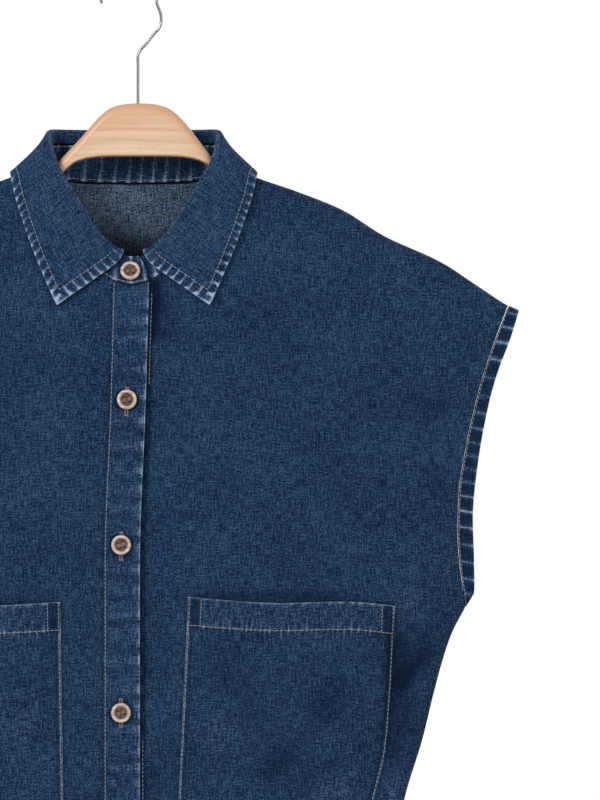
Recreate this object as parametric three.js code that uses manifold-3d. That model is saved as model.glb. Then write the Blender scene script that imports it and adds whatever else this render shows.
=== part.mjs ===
// A sleeveless denim shirt vest, buttoned, hanging on a wooden hanger with a wire hook.
// Millimetres, +Z up, the front faces -Y and +X is the right of someone who looks at the front.
// The origin is the inner top of the hook, where a rail would hold it.
import * as THREE from 'three';
import { mergeVertices } from 'three/addons/utils/BufferGeometryUtils.js';
import Module from 'manifold-3d';

// Cloth and seams
const SEAM_GAP = 0.3;
const DENIM = 1.5;
const HEM_WALL = 2.8;
const HEM_HEIGHT = 15;
const TRIM = 1.2;
const STAND_WALL = 2.4;
const LEAF_WALL = 2.0;
const BAND_WALL = 2.6;

// Heights that the outline is built on
const HEM_Z = -717;
const UNDERARM_SEAM_Z = -458;
const UNDERARM_EDGE_Z = -447.5;
const TIP_Z = -245;
const BAND_TIP_Z = -241.6;

// How the flat garment rounds away: a roll over the hanger and down the sides, then a slow swell
const ROLL_RADIUS = 8;
const ARMHOLE_SWELL = 4;
const ARMHOLE_REACH = 70;
const SWELL = {
  front: { depth: 27, reach: 100, sign: -1 },
  back: { depth: 21, reach: 45, sign: 1 },
};

// The front opening: the wearer's right front lies over the left one
const PLACKET = { inner: -13.4, edge: 12.6 };
const UNDER_PLACKET = { inner: -12.4, edge: 15.6 };
const PANEL_EDGE = 12.4;
const UNDER_DEPTH = 3.5;
const UNDER_FADE = { from: 21, over: 34 };
const POCKET_GAP = 1.2;
// Which way the cloth faces where two panels meet, along the shoulder and down the side
const SEAM_FACES = { shoulder: { h: 0.45, z: 0.89 }, side: { h: 0.96, z: -0.28 } };

const named = (columns, rows) => rows.map(
  (row) => Object.fromEntries(columns.map((column, i) => [column, row[i]])));

// The middle of the garment drifts a little as it hangs.
const CENTRE_LINE = named(['z', 'x'], [
  [-717, -4.5], [-430, -4.5], [-300, 0], [-150, 3], [-90, 3],
]);
// Half widths from the middle: the silhouette, and the stitched line 11 mm inside the armhole.
const SILHOUETTE = named(['z', 'half'], [
  [-717, 189], [-680, 190], [-640, 194], [-595, 202], [-552, 214.9], [-520, 222.7], [-498.6, 228.4],
  [-477, 235.6], [-458, 245.5], [-447.5, 252.1], [-424, 251.8], [-389, 250.2], [-353, 252.4],
  [-312, 258.2], [-288, 264.4], [-266, 272.1], [-245, 278.1],
]);
const ARMHOLE_STITCH = named(['z', 'half'], [
  [-458, 245.3], [-443, 243.6], [-424, 241.1], [-401, 239.5], [-379, 239.4], [-343, 243],
  [-306, 249.9], [-273, 259.2], [-241.6, 270],
]);
const SHOULDER = named(['half', 'z'], [
  [0, -117], [70, -141.5], [87, -149.3], [118, -160.1], [150, -173.1], [180, -191.6],
  [221.6, -210.7], [249.3, -228.5], [270, -241.6], [278.1, -245],
]);
// Large soft folds: a straight line of a trough or ridge, its half breadth and its depth
const FOLDS = named(['face', 'side', 'h0', 'z0', 'h1', 'z1', 'breadth', 'depth'], [
  ['front', 1, 150, -610, 70, -500, 24, -2.2], ['front', 1, 176, -610, 120, -540, 20, 2.0],
  ['front', 1, 205, -470, 196, -600, 18, -2.6], ['front', 1, 120, -705, 168, -600, 22, -2.4],
  ['front', 1, 120, -215, 75, -330, 28, -1.4], ['front', 1, 215, -300, 120, -430, 30, -1.8],
  ['front', -1, 140, -620, 80, -505, 25, -2.2], ['front', -1, 172, -614, 116, -548, 24, 1.7],
  ['front', -1, 207, -475, 194, -610, 19, -2.4], ['front', -1, 112, -705, 160, -606, 23, -2.2],
  ['front', -1, 118, -220, 70, -345, 27, -1.5], ['front', -1, 205, -305, 128, -440, 29, -1.9],
  ['back', 1, 95, -200, 60, -420, 28, -2.0], ['back', 1, 190, -330, 110, -560, 30, -2.4],
  ['back', 1, 60, -700, 84, -520, 24, 2.4], ['back', 1, 150, -700, 162, -560, 23, -2.6],
  ['back', -1, 88, -205, 66, -400, 29, -2.2], ['back', -1, 196, -340, 118, -545, 30, -2.2],
  ['back', -1, 44, -700, 58, -540, 25, 2.2], ['back', -1, 140, -700, 158, -570, 23, -2.4],
]);

// The collar round the neck, from the centre front at 0 degrees over the shoulder to the centre
// back at 180: the way it faces, its seam, the stand's top, the leaf's fold and its outer edge.
const COLLAR_CENTRE = 3.4;
const COLLAR = named([
  'at', 'faces', 'seamH', 'seamZ', 'topH', 'topY', 'topZ', 'foldH', 'foldY', 'foldZ', 'edgeH', 'edgeZ',
], [
  [0, 0, 0, -227, 0, -29, -206.2, 0, -29, -202, 52.4, -243.5],
  [8, 0, 10, -225, 6.6, -29, -205.8, 7, -29.4, -201.3, 54.4, -241.5],
  [25, 0, 28, -214.5, 22.6, -28, -195.6, 23.6, -27.5, -190, 63.5, -222],
  [45, 5, 46, -197, 37, -24, -175.8, 36.6, -23, -169.6, 73, -199],
  [62, 10, 58.5, -178, 48, -18.5, -158.5, 47.2, -17.5, -152.5, 80, -179],
  [78, 20, 68, -157.5, 57, -10, -143.5, 55.6, -9, -136.5, 85.6, -161],
  [90, 45, 71.5, -142.2, 60.5, 2, -130, 60, 3, -120.3, 88.5, -146.8],
  [105, 95, 68.5, -146.5, 59.5, 9.8, -126, 59.4, 10.5, -115.4, 84, -157],
  [125, 124, 57, -150.5, 56, 18.5, -126.4, 56, 19.5, -114.7, 68, -161],
  [150, 160, 34, -153.6, 34, 26.5, -126.4, 34, 27.5, -115, 40, -164],
  [180, 180, 0, -154.3, 0, 29.5, -126.4, 0, 30.5, -115, 0, -164],
]);
const LEAF_START = 8;
const LEAF_CLEARANCE = 3;
const LEAF_BEND = 1.5;
const LEAF_RISE = 1.1;
const UNDER_END = -11;
const OVER_END = 12;
const STAND_END_ROUND = 9;
const STAND_END_DROP = 0.75;
const STAND_RISE = 1;
// The left end of the stand lies deeper, and comes level over this stretch of the neck
const UNDER_END_DEPTH = 2.8;
const UNDER_END_FADE = { from: 20, over: 30 };
const COLLAR_SEAM_STEP = 0.4;
const PLACKET_DROP = 1.2;
const UNDER_PLACKET_GAP = 0.45;
const BAND_GAP = 0.55;

// Patch pockets: where the top corners and the sides lie, from the middle
const POCKET_BOTTOM_Z = -627;
const POCKET_BAND = 21;
const POCKET_TOP_SAG = 1.2;
const POCKETS = named(['name', 'side', 'innerTop', 'innerBottom', 'topInnerZ', 'topOuterZ'], [
  ['pocket_left', 1, 47.2, 38.7, -450, -456.6], ['pocket_right', -1, 44.1, 41.5, -453.6, -456.6],
]);
const POCKET_OUTER = named(['z', 'half'], [
  [-627, 173], [-595, 179.5], [-561, 187.9], [-535, 190.6], [-506, 192.4], [-456, 194.7],
]);

// Buttons
const BUTTON = { radius: 7.1, height: 3, rim: 1.9, recess: 1.1, lift: 0.3, liftOnStand: 1, offset: 0.9 };
const BUTTON_HEIGHTS = [-217.9, -308.9, -412.8, -532.7, -652.7];

// Hanger
const HANGER = {
  x: 7.5, reach: 220, thickness: 10.4, armHeight: 12, arms: 80,
  cloth: 3.2, neckSlope: 1.3, neckIn: 6.3, dip: 1.6, dipOver: 14,
};
const HANGER_CREST = named(['out', 'top', 'bottom'], [
  [0, -97.1, -135], [9, -97.7, -135], [17.8, -99.5, -135], [22, -101.7, -135.1],
  [28.4, -106.9, -135.4], [36.2, -115.6, -136.4], [43.4, -123.5, -138.4], [52, -132.3, -143.8],
  [59.2, -140, -150.5],
]);
const WIRE = { radius: 1, sides: 8, bore: 1.3, depth: 18, loop: 20.4 };
const HOOK = { stemX: 6.4, stemTop: -62.6, bendX: 22.9, bendZ: -40.5, from: -14, to: 196 };

// A smooth curve through the rows of a table, which never swings past a row
function smoothThrough(rows, along, across) {
  const sorted = [...rows].sort((a, b) => a[along] - b[along]);
  const at = sorted.map((row) => row[along]);
  const value = sorted.map((row) => row[across]);
  const rise = at.slice(1).map((x, i) => (value[i + 1] - value[i]) / (x - at[i]));
  const slope = at.map((_, i) => {
    if (i === 0) return rise[0];
    if (i === at.length - 1) return rise[i - 1];
    const same = rise[i - 1] * rise[i] > 0;
    return same ? 2 * rise[i - 1] * rise[i] / (rise[i - 1] + rise[i]) : 0;
  });
  return (x) => {
    if (x <= at[0]) return value[0];
    if (x >= at[at.length - 1]) return value[at.length - 1];
    let i = 0;
    while (x > at[i + 1]) i += 1;
    const span = at[i + 1] - at[i];
    const t = (x - at[i]) / span;
    const a = value[i] * (1 + 2 * t) * (1 - t) ** 2 + value[i + 1] * t * t * (3 - 2 * t);
    return a + span * (slope[i] * t * (1 - t) ** 2 - slope[i + 1] * t * t * (1 - t));
  };
}
const centreX = smoothThrough(CENTRE_LINE, 'z', 'x');
const silhouette = smoothThrough(SILHOUETTE, 'z', 'half');
const armholeStitch = smoothThrough(ARMHOLE_STITCH, 'z', 'half');
const shoulderZ = smoothThrough(SHOULDER, 'half', 'z');
const pocketOuter = smoothThrough(POCKET_OUTER, 'z', 'half');
const collar = Object.fromEntries(Object.keys(COLLAR[0]).slice(1).map(
  (column) => [column, smoothThrough(COLLAR, 'at', column)]));

const clamp01 = (t) => Math.min(1, Math.max(0, t));
const ease = (t) => Math.sin(clamp01(t) * Math.PI / 2);
const softStep = (t) => clamp01(t) ** 2 * (3 - 2 * clamp01(t));
const mix = (a, b, t) => a + (b - a) * t;
const radians = THREE.MathUtils.degToRad;

// Distance in from the closed edges, the shoulder line and the side seam
const SHOULDER_SLANT = 0.87;
const SIDE_SLANT = 0.96;
function insetFromSeams(h, z) {
  const fromShoulder = (shoulderZ(h) - z) * SHOULDER_SLANT;
  const fromSide = (silhouette(z) - h) * SIDE_SLANT;
  const aboveUnderarm = Math.max(0, z - UNDERARM_EDGE_Z);
  const nearest = Math.min(fromShoulder, Math.hypot(Math.max(0, fromSide), aboveUnderarm));
  return { fromShoulder, nearest };
}

// A fold keeps its depth over the middle of its line and fades out past both ends.
const FOLD_CORE = 0.3;
const FOLD_TAPER = 0.158;
const FOLDS_START = 40;
function foldDepth(face, side, h, z) {
  let depth = 0;
  for (const fold of FOLDS) {
    if (fold.face !== face || fold.side !== side) continue;
    const dh = fold.h1 - fold.h0;
    const dz = fold.z1 - fold.z0;
    const length = Math.hypot(dh, dz);
    const along = ((h - fold.h0) * dh + (z - fold.z0) * dz) / length ** 2;
    const off = ((h - fold.h0) * dz - (z - fold.z0) * dh) / length;
    const taper = Math.exp(-((Math.max(0, Math.abs(along - 0.5) - FOLD_CORE) / FOLD_TAPER) ** 2));
    depth += fold.depth * taper * Math.exp(-((off / fold.breadth) ** 2));
  }
  return depth;
}

// How far the outside of the cloth stands from the middle plane
function swell(face, side, h, z) {
  const { depth, reach } = SWELL[face];
  const inset = insetFromSeams(Math.abs(h), z);
  if (inset.nearest <= 0) return 0;
  const round = Math.min(1, inset.nearest / ROLL_RADIUS);
  const roll = ROLL_RADIUS * Math.sqrt(1 - (1 - round) ** 2);
  const across = clamp01(Math.abs(h) / silhouette(Math.min(z, TIP_Z)));
  const body = depth * ease(inset.fromShoulder / reach) * (1 - across ** 2);
  const folds = foldDepth(face, h < 0 ? -side : side, Math.abs(h), z) * softStep(inset.nearest / FOLDS_START);
  return roll + ARMHOLE_SWELL * ease(inset.nearest / ARMHOLE_REACH) + body + folds;
}

// The wearer's left front lies deeper where the right front and its placket cover it.
function underLap(face, side, h) {
  if (face !== 'front' || side !== 1) return 0;
  return UNDER_DEPTH * (1 - softStep((h - UNDER_FADE.from) / UNDER_FADE.over));
}

// A point on the outside of a panel, h mm from the middle towards its side
function clothPoint(face, side, h, z, onSeam = false) {
  const out = onSeam ? 0 : swell(face, side, h, z) - underLap(face, side, h);
  const y = SWELL[face].sign * (SEAM_GAP / 2 + out);
  return new THREE.Vector3(centreX(z) + side * h, y, z);
}

const PROBE = 0.4;
function clothNormal(face, side, h, z, onSeam = false) {
  const across = clothPoint(face, side, h + PROBE, z).sub(clothPoint(face, side, h - PROBE, z));
  const up = clothPoint(face, side, h, z + PROBE).sub(clothPoint(face, side, h, z - PROBE));
  const normal = across.cross(up).normalize();
  if (normal.y * SWELL[face].sign < 0) normal.negate();
  if (onSeam) normal.set(side * SEAM_FACES[onSeam].h, 0, SEAM_FACES[onSeam].z).normalize();
  return normal;
}

// A closed wall between two grids of points; wrapped when the first row follows the last
function wall(outer, inner, wrapped = false) {
  const rows = outer.length;
  const columns = outer[0].length;
  const positions = [...outer.flat(), ...inner.flat()].flatMap((p) => [p.x, p.y, p.z]);
  const index = [];
  const inside = rows * columns;
  const at = (i, j) => (i % rows) * columns + j;
  const quad = (a, b, c, d) => index.push(a, b, c, a, c, d);
  const lastRow = wrapped ? rows : rows - 1;
  for (let i = 0; i < lastRow; i += 1) {
    for (let j = 0; j < columns - 1; j += 1) {
      quad(at(i, j), at(i + 1, j), at(i + 1, j + 1), at(i, j + 1));
      quad(inside + at(i, j), inside + at(i, j + 1), inside + at(i + 1, j + 1), inside + at(i + 1, j));
    }
    const end = columns - 1;
    quad(at(i, 0), inside + at(i, 0), inside + at(i + 1, 0), at(i + 1, 0));
    quad(at(i, end), at(i + 1, end), inside + at(i + 1, end), inside + at(i, end));
  }
  for (let j = 0; j < columns - 1 && !wrapped; j += 1) {
    const end = rows - 1;
    quad(at(0, j), at(0, j + 1), inside + at(0, j + 1), inside + at(0, j));
    quad(at(end, j), inside + at(end, j), inside + at(end, j + 1), at(end, j + 1));
  }
  const geometry = new THREE.BufferGeometry();
  geometry.setAttribute('position', new THREE.Float32BufferAttribute(positions, 3));
  geometry.setIndex(index);
  return facingOut(geometry);
}

function facingOut(geometry) {
  const p = geometry.attributes.position;
  const index = geometry.index.array;
  const [a, b, c] = [new THREE.Vector3(), new THREE.Vector3(), new THREE.Vector3()];
  let volume = 0;
  for (let i = 0; i < index.length; i += 3) {
    a.fromBufferAttribute(p, index[i]);
    b.fromBufferAttribute(p, index[i + 1]);
    c.fromBufferAttribute(p, index[i + 2]);
    volume += a.dot(b.cross(c));
  }
  if (volume < 0) {
    for (let i = 0; i < index.length; i += 3) [index[i], index[i + 1]] = [index[i + 1], index[i]];
  }
  return geometry;
}

// Offsets a grid of points along its own normals, for pieces that aren't laid on a panel
function gridNormals(grid, outwards) {
  return grid.map((row, i) => row.map((point, j) => {
    const before = grid[Math.max(0, i - 1)][j];
    const after = grid[Math.min(grid.length - 1, i + 1)][j];
    const below = row[Math.max(0, j - 1)];
    const above = row[Math.min(row.length - 1, j + 1)];
    const normal = after.clone().sub(before).cross(above.clone().sub(below)).normalize();
    return outwards(normal, i, j);
  }));
}
const shifted = (grid, normals, amount) => grid.map(
  (row, i) => row.map((point, j) => point.clone().addScaledVector(normals[i][j], amount)));

// Where the columns of a panel meet the neck, in degrees round it, and the shares of its top and
// its side that the neck and the side seam take
const FRONT_STOPS = [0, 10, 20, 32, 45, 57, 68, 79, 90];
const BACK_STOPS = [180, 165, 150, 136, 122, 110, 99, 90];
const NECK_SHARE = 0.36;
const SIDE_SHARE = 0.5;
const SHOULDER_COLUMNS = 7;
const ROWS = { belowUnderarm: 7, aboveUnderarm: 6 };
// Fine steps where the cloth rolls over at the side, at the shoulder and above the underarm
const ROLL_STEPS = [1, 0.625, 0.325, 0.1, 0];
const SIDE_ROLL = 0.042;
const SHOULDER_ROLL = 0.019;
const UNDERARM_STEPS = [0.007, 0.016, 0.028];
const HEM_STEPS = [0.028, 0.031];

function evenSteps(from, to, count) {
  return Array.from({ length: count + 1 }, (_, i) => mix(from, to, i / count));
}

function panelColumns(stops) {
  const neck = stops.map((at) => NECK_SHARE * (at - stops[0]) / (90 - stops[0]));
  const shoulder = evenSteps(NECK_SHARE, 1 - SIDE_ROLL, SHOULDER_COLUMNS).slice(1, -1);
  return [...neck, ...shoulder, ...ROLL_STEPS.map((t) => 1 - SIDE_ROLL * t)];
}

function panelRows() {
  const lower = evenSteps(HEM_STEPS[1], SIDE_SHARE, ROWS.belowUnderarm).slice(1);
  const underarm = UNDERARM_STEPS.map((t) => SIDE_SHARE + t);
  const upper = evenSteps(underarm.at(-1), 1 - SHOULDER_ROLL, ROWS.aboveUnderarm).slice(1, -1);
  const roll = ROLL_STEPS.map((t) => 1 - SHOULDER_ROLL * t);
  return [0, ...HEM_STEPS, ...lower, ...underarm, ...upper, ...roll];
}
const PANEL_ROWS = panelRows();

// One half panel as a net of four curves: the middle, the hem, the side with the armhole, and
// the neck with the shoulder. Returns the place (h, z) of a net point and which seam it is on.
const BODY_EDGE = SEAM_GAP / 2;
function panelNet(face, middleH) {
  const isFront = face === 'front';
  const start = isFront ? -nearestAngle(-middleH) : 180;
  const neck = (t) => {
    const at = mix(start, 90, t);
    const toSide = isFront && at < 0 ? -1 : 1;
    return { h: toSide * collar.seamH(Math.abs(at)), z: collar.seamZ(Math.abs(at)) };
  };
  const shoulder = (t) => {
    const h = mix(collar.seamH(90), armholeStitch(BAND_TIP_Z) - BODY_EDGE, t);
    return { h, z: shoulderZ(h) };
  };
  const side = (t) => {
    const z = mix(HEM_Z, UNDERARM_SEAM_Z, t);
    return { h: silhouette(z) - (t === 1 ? BODY_EDGE : 0), z };
  };
  const armhole = (t) => {
    const z = mix(UNDERARM_SEAM_Z, shoulder(1).z, t);
    return { h: armholeStitch(z) - BODY_EDGE, z };
  };
  const top = (u) => (
    u < NECK_SHARE ? neck(u / NECK_SHARE) : shoulder((u - NECK_SHARE) / (1 - NECK_SHARE)));
  const outer = (v) => (
    v <= SIDE_SHARE ? side(v / SIDE_SHARE) : armhole((v - SIDE_SHARE) / (1 - SIDE_SHARE)));
  const topStart = top(0);
  const place = (u, v, key) => {
    const hem = key === 'h' ? mix(middleH, silhouette(HEM_Z), u) : HEM_Z;
    const middle = key === 'h' ? middleH : mix(HEM_Z, topStart.z, v);
    const corners = mix(
      mix(key === 'h' ? middleH : HEM_Z, key === 'h' ? silhouette(HEM_Z) : HEM_Z, u),
      mix(topStart[key], top(1)[key], u), v);
    return mix(hem, top(u)[key], v) + mix(middle, outer(v)[key], u) - corners;
  };
  return (u, v) => {
    const onShoulder = v === 1 && u >= NECK_SHARE;
    const onSide = u === 1 && v <= SIDE_SHARE;
    return { h: place(u, v, 'h'), z: place(u, v, 'z'), seam: onShoulder ? 'shoulder' : onSide && 'side' };
  };
}

// The place round the neck where the seam is h mm from the middle of the front
function nearestAngle(h) {
  let [low, high] = [0, 90];
  for (let i = 0; i < 40; i += 1) {
    const middle = (low + high) / 2;
    if (collar.seamH(middle) < h) low = middle; else high = middle;
  }
  return low;
}

function panelWall(face, columns, spotAt) {
  const outer = [];
  const inner = [];
  for (const { side, u } of columns) {
    const spots = spotAt(u);
    outer.push(spots.map((s) => clothPoint(face, side, s.h, s.z, s.seam)));
    inner.push(spots.map((s) => {
      const hemmed = s.z < HEM_Z + HEM_HEIGHT && s.h > UNDER_FADE.from;
      const thick = hemmed ? HEM_WALL : DENIM;
      const normal = clothNormal(face, side, s.h, s.z, s.seam);
      return clothPoint(face, side, s.h, s.z, s.seam).addScaledVector(normal, -thick);
    }));
  }
  return wall(outer, inner);
}

function frontPanel(side) {
  const net = panelNet('front', -PANEL_EDGE);
  const lap = nearestAngle(PANEL_EDGE);
  const columns = panelColumns([-lap, -lap / 2, ...FRONT_STOPS]).map((u) => ({ side, u }));
  return panelWall('front', columns, (u) => PANEL_ROWS.map((v) => net(u, v)));
}

function backPanel() {
  const net = panelNet('back', 0);
  const half = panelColumns(BACK_STOPS);
  const columns = [
    ...[...half].reverse().map((u) => ({ side: -1, u })), ...half.slice(1).map((u) => ({ side: 1, u })),
  ];
  return panelWall('back', columns, (u) => PANEL_ROWS.map((v) => net(u, v)));
}

// A piece laid on a front panel: its places in columns, its thickness and how far it is off
function laidOn(side, columns, thickness, gap) {
  const at = (spot, off) => clothPoint('front', side, spot.h, spot.z)
    .addScaledVector(clothNormal('front', side, spot.h, spot.z), off);
  return wall(
    columns.map((column) => column.map((spot) => at(spot, gap + (spot.wall ?? thickness)))),
    columns.map((column) => column.map((spot) => at(spot, gap))));
}

function placket(side, { inner, edge }, gap) {
  const across = [inner, (inner + edge) / 2, edge];
  const steps = evenSteps(0, 1, 18);
  const columns = across.map((h) => {
    const top = collar.seamZ(nearestAngle(Math.abs(h))) - PLACKET_DROP;
    return steps.map((t) => ({ h: side * h, z: mix(HEM_Z, top, t) }));
  });
  return laidOn(side, columns, TRIM, gap);
}

function pocket({ side, innerTop, innerBottom, topInnerZ, topOuterZ }) {
  const bandWall = TRIM + 1;
  const bandShare = POCKET_BAND / (topInnerZ - POCKET_BOTTOM_Z);
  const body = evenSteps(0, 1 - bandShare, 9).slice(0, -1);
  const rows = [...body, 1 - bandShare - 0.006, 1 - bandShare, 1];
  const columns = evenSteps(0, 1, 11).map((u) => rows.map((v) => {
    const top = mix(topInnerZ, topOuterZ, u) - POCKET_TOP_SAG * Math.sin(Math.PI * u);
    const z = mix(POCKET_BOTTOM_Z, top, v);
    const h = mix(mix(innerBottom, innerTop, v), pocketOuter(z), u);
    return { h, z, wall: v >= 1 - bandShare ? bandWall : TRIM };
  }));
  return laidOn(side, columns, TRIM, POCKET_GAP);
}

// The band round an armhole, from the underarm up the front and down the back
function armholeBand(side) {
  const rows = PANEL_ROWS.filter((v) => v >= SIDE_SHARE && v < 1);
  const half = rows.map((v) => (v - SIDE_SHARE) / (1 - SIDE_SHARE));
  const down = [...half.slice(1), 1].reverse();
  const round = [...half.map((t) => ['front', t]), ...down.map((t) => ['back', t])];
  const outer = [];
  const inner = [];
  for (const [face, t] of round) {
    const onSeam = (t === 0 && 'side') || (t === 1 && 'shoulder');
    const stitchZ = mix(UNDERARM_SEAM_Z + BODY_EDGE, BAND_TIP_Z, t);
    const edgeZ = mix(UNDERARM_EDGE_Z, TIP_Z, t);
    const stitchH = armholeStitch(stitchZ) + BAND_GAP;
    const edgeH = silhouette(edgeZ);
    const spots = [0, 0.5, 1].map((q) => ({ h: mix(stitchH, edgeH, q), z: mix(stitchZ, edgeZ, q) }));
    const flat = (point) => (onSeam ? point.setY(0) : point);
    outer.push(spots.map((s) => flat(clothPoint(face, side, s.h, s.z, onSeam))));
    inner.push(spots.map((s) => flat(clothPoint(face, side, s.h, s.z, onSeam))
      .addScaledVector(clothNormal(face, side, s.h, s.z, onSeam), -BAND_WALL)));
  }
  return wall(outer, inner, true);
}

// Where a turn round the neck stands: 0 is the front middle, then the viewer's right, the back
// at 180, the viewer's left, and the front middle again at 360
function neckTurn(turn) {
  const side = turn <= 180 ? 1 : -1;
  const signed = turn <= 180 ? turn : 360 - turn;
  return { side: signed < 0 ? -side : side, panel: side, at: Math.abs(signed) };
}

// Stand band: an overlapping turn, the left end beneath the right one
function standGrid() {
  const under = -nearestAngle(-UNDER_END);
  const over = 360 + nearestAngle(OVER_END);
  const right = [under / 2, ...FRONT_STOPS, ...BACK_STOPS.slice(0, -1).reverse()];
  const left = [...right].reverse().slice(1).map((at) => 360 - at);
  const rounding = [0.15, 0.45, 0.7, 0.9, 1].map((t) => mix(360, over, t));
  const turns = [under, ...right, ...left, ...rounding];
  const grid = turns.map((turn) => {
    const { side, panel, at } = neckTurn(turn);
    const face = at < 90 ? 'front' : 'back';
    const lower = clothPoint(face, panel, side * panel * collar.seamH(at), collar.seamZ(at), at === 90);
    lower.y += SWELL[face].sign * COLLAR_SEAM_STEP * Math.abs(Math.cos(radians(at)));
    const inset = panel === 1 ? UNDER_END_DEPTH : 0;
    const depth = inset * (1 - softStep((turn - UNDER_END_FADE.from) / UNDER_END_FADE.over));
    const upper = new THREE.Vector3(
      COLLAR_CENTRE + side * collar.topH(at), collar.topY(at) + depth, collar.topZ(at));
    const rise = upper.clone().sub(lower).normalize();
    lower.addScaledVector(rise, STAND_RISE);
    const fromEnd = collar.seamH(nearestAngle(OVER_END)) - side * collar.seamH(at);
    const nearOver = turn > 330 ? clamp01(1 - fromEnd / STAND_END_ROUND) : 0;
    const height = 1 - STAND_END_DROP * (1 - Math.sqrt(Math.max(0, 1 - nearOver ** 2)));
    return [0, 1 / 3, 2 / 3, 1].map((q) => lower.clone().lerp(upper, q * height));
  });
  return { grid, turns };
}

// The level direction that the collar faces at a turn round the neck
function facing(turn) {
  const { side, at } = neckTurn(turn);
  const angle = radians(collar.faces(at));
  return new THREE.Vector3(side * Math.sin(angle), -Math.cos(angle), 0);
}

function collarStand() {
  const { grid, turns } = standGrid();
  const normals = gridNormals(grid, (normal, i) => (
    normal.dot(facing(turns[i])) < 0 ? normal.negate() : normal));
  return wall(grid, shifted(grid, normals, -STAND_WALL));
}

// Leaf: one sheet that rises from the stand, folds over and falls to its outer edge
function leafSection(turn, fallSteps) {
  const { side, at } = neckTurn(turn);
  const away = facing(turn);
  const top = new THREE.Vector3(COLLAR_CENTRE + side * collar.topH(at), collar.topY(at), collar.topZ(at));
  const fold = new THREE.Vector3(
    COLLAR_CENTRE + side * collar.foldH(at), collar.foldY(at), collar.foldZ(at));
  const bend = THREE.MathUtils.clamp(0.3 * (fold.z - top.z), LEAF_BEND, 2);
  const half = LEAF_WALL / 2;
  const root = top.clone().addScaledVector(away, -half).add(new THREE.Vector3(0, 0, LEAF_RISE));
  const rising = fold.clone().addScaledVector(away, -half).setZ(fold.z - half - bend);
  const crest = fold.clone().addScaledVector(away, bend - half).setZ(fold.z - half);
  const falling = fold.clone().addScaledVector(away, 2 * bend - half).setZ(fold.z - half - bend);
  const edge = new THREE.Vector3(COLLAR_CENTRE + side * collar.edgeH(at), 0, collar.edgeZ(at));
  const face = at < 90 ? 'front' : 'back';
  const { sign } = SWELL[face];
  const bodyY = ({ x, z }) => {
    const under = swell(face, side, Math.abs(x - centreX(z)), z - LEAF_CLEARANCE);
    return sign * (under + LEAF_CLEARANCE * Math.min(1, under / ROLL_RADIUS));
  };
  const fall = fallSteps.map((t) => {
    const point = falling.clone().lerp(edge, t).setY(mix(falling.y, bodyY(edge), t));
    const settle = 1 - (1 - clamp01(t / 0.5)) ** 2;
    const proud = Math.max(0, sign * (bodyY(point) - point.y));
    point.y += sign * proud * settle;
    return point;
  });
  return [root, rising, crest, falling, ...fall];
}

function collarLeaf() {
  const fine = [84, 87, 90, 93, 96, 100];
  const firstHalf = [8, 13, 19, 26, 34, 42, 50, 58, 66, 74, 80, ...fine, 108, 118, 128, 140, 153, 166, 180];
  const turns = [...firstHalf, ...firstHalf.slice(0, -1).reverse().map((turn) => 360 - turn)];
  const fallSteps = [0.12, 0.28, 0.48, 0.72, 1];
  const grid = turns.map((turn) => leafSection(turn, fallSteps));
  const normals = gridNormals(grid, (normal) => normal);
  const half = LEAF_WALL / 2;
  return wall(shifted(grid, normals, half), shifted(grid, normals, -half));
}

// Button: a turned disc with a raised rim
function buttonShape() {
  const { radius, height, rim, recess } = BUTTON;
  const floor = height - recess;
  const profile = [
    [0, 0], [radius - 0.9, 0], [radius, 0.9], [radius, height - 0.8], [radius - 0.8, height],
    [radius - rim, height], [radius - rim - 0.6, floor], [0, floor],
  ].map(([x, y]) => new THREE.Vector2(x, y));
  const geometry = new THREE.LatheGeometry(profile, 14);
  geometry.deleteAttribute('normal');
  geometry.deleteAttribute('uv');
  return facingOut(mergeVertices(geometry, 1e-3));
}

function placeButton(mesh, z) {
  const stand = z > collar.seamZ(0);
  const h = BUTTON.offset;
  const normal = clothNormal('front', -1, h, z);
  const point = clothPoint('front', -1, h, z);
  let lift = SEAM_GAP + TRIM + BUTTON.lift;
  if (stand) {
    const t = (z - collar.seamZ(0)) / (collar.topZ(0) - collar.seamZ(0));
    const lower = clothPoint('front', -1, h, collar.seamZ(0));
    point.y = mix(lower.y - COLLAR_SEAM_STEP, collar.topY(0), t);
    const lean = new THREE.Vector3(0, collar.topY(0) - lower.y, collar.topZ(0) - collar.seamZ(0));
    normal.set(0, -lean.z, lean.y).normalize();
    lift = BUTTON.liftOnStand;
  }
  mesh.position.copy(point).addScaledVector(normal, lift);
  mesh.quaternion.setFromUnitVectors(new THREE.Vector3(0, 1, 0), normal);
}

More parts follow.
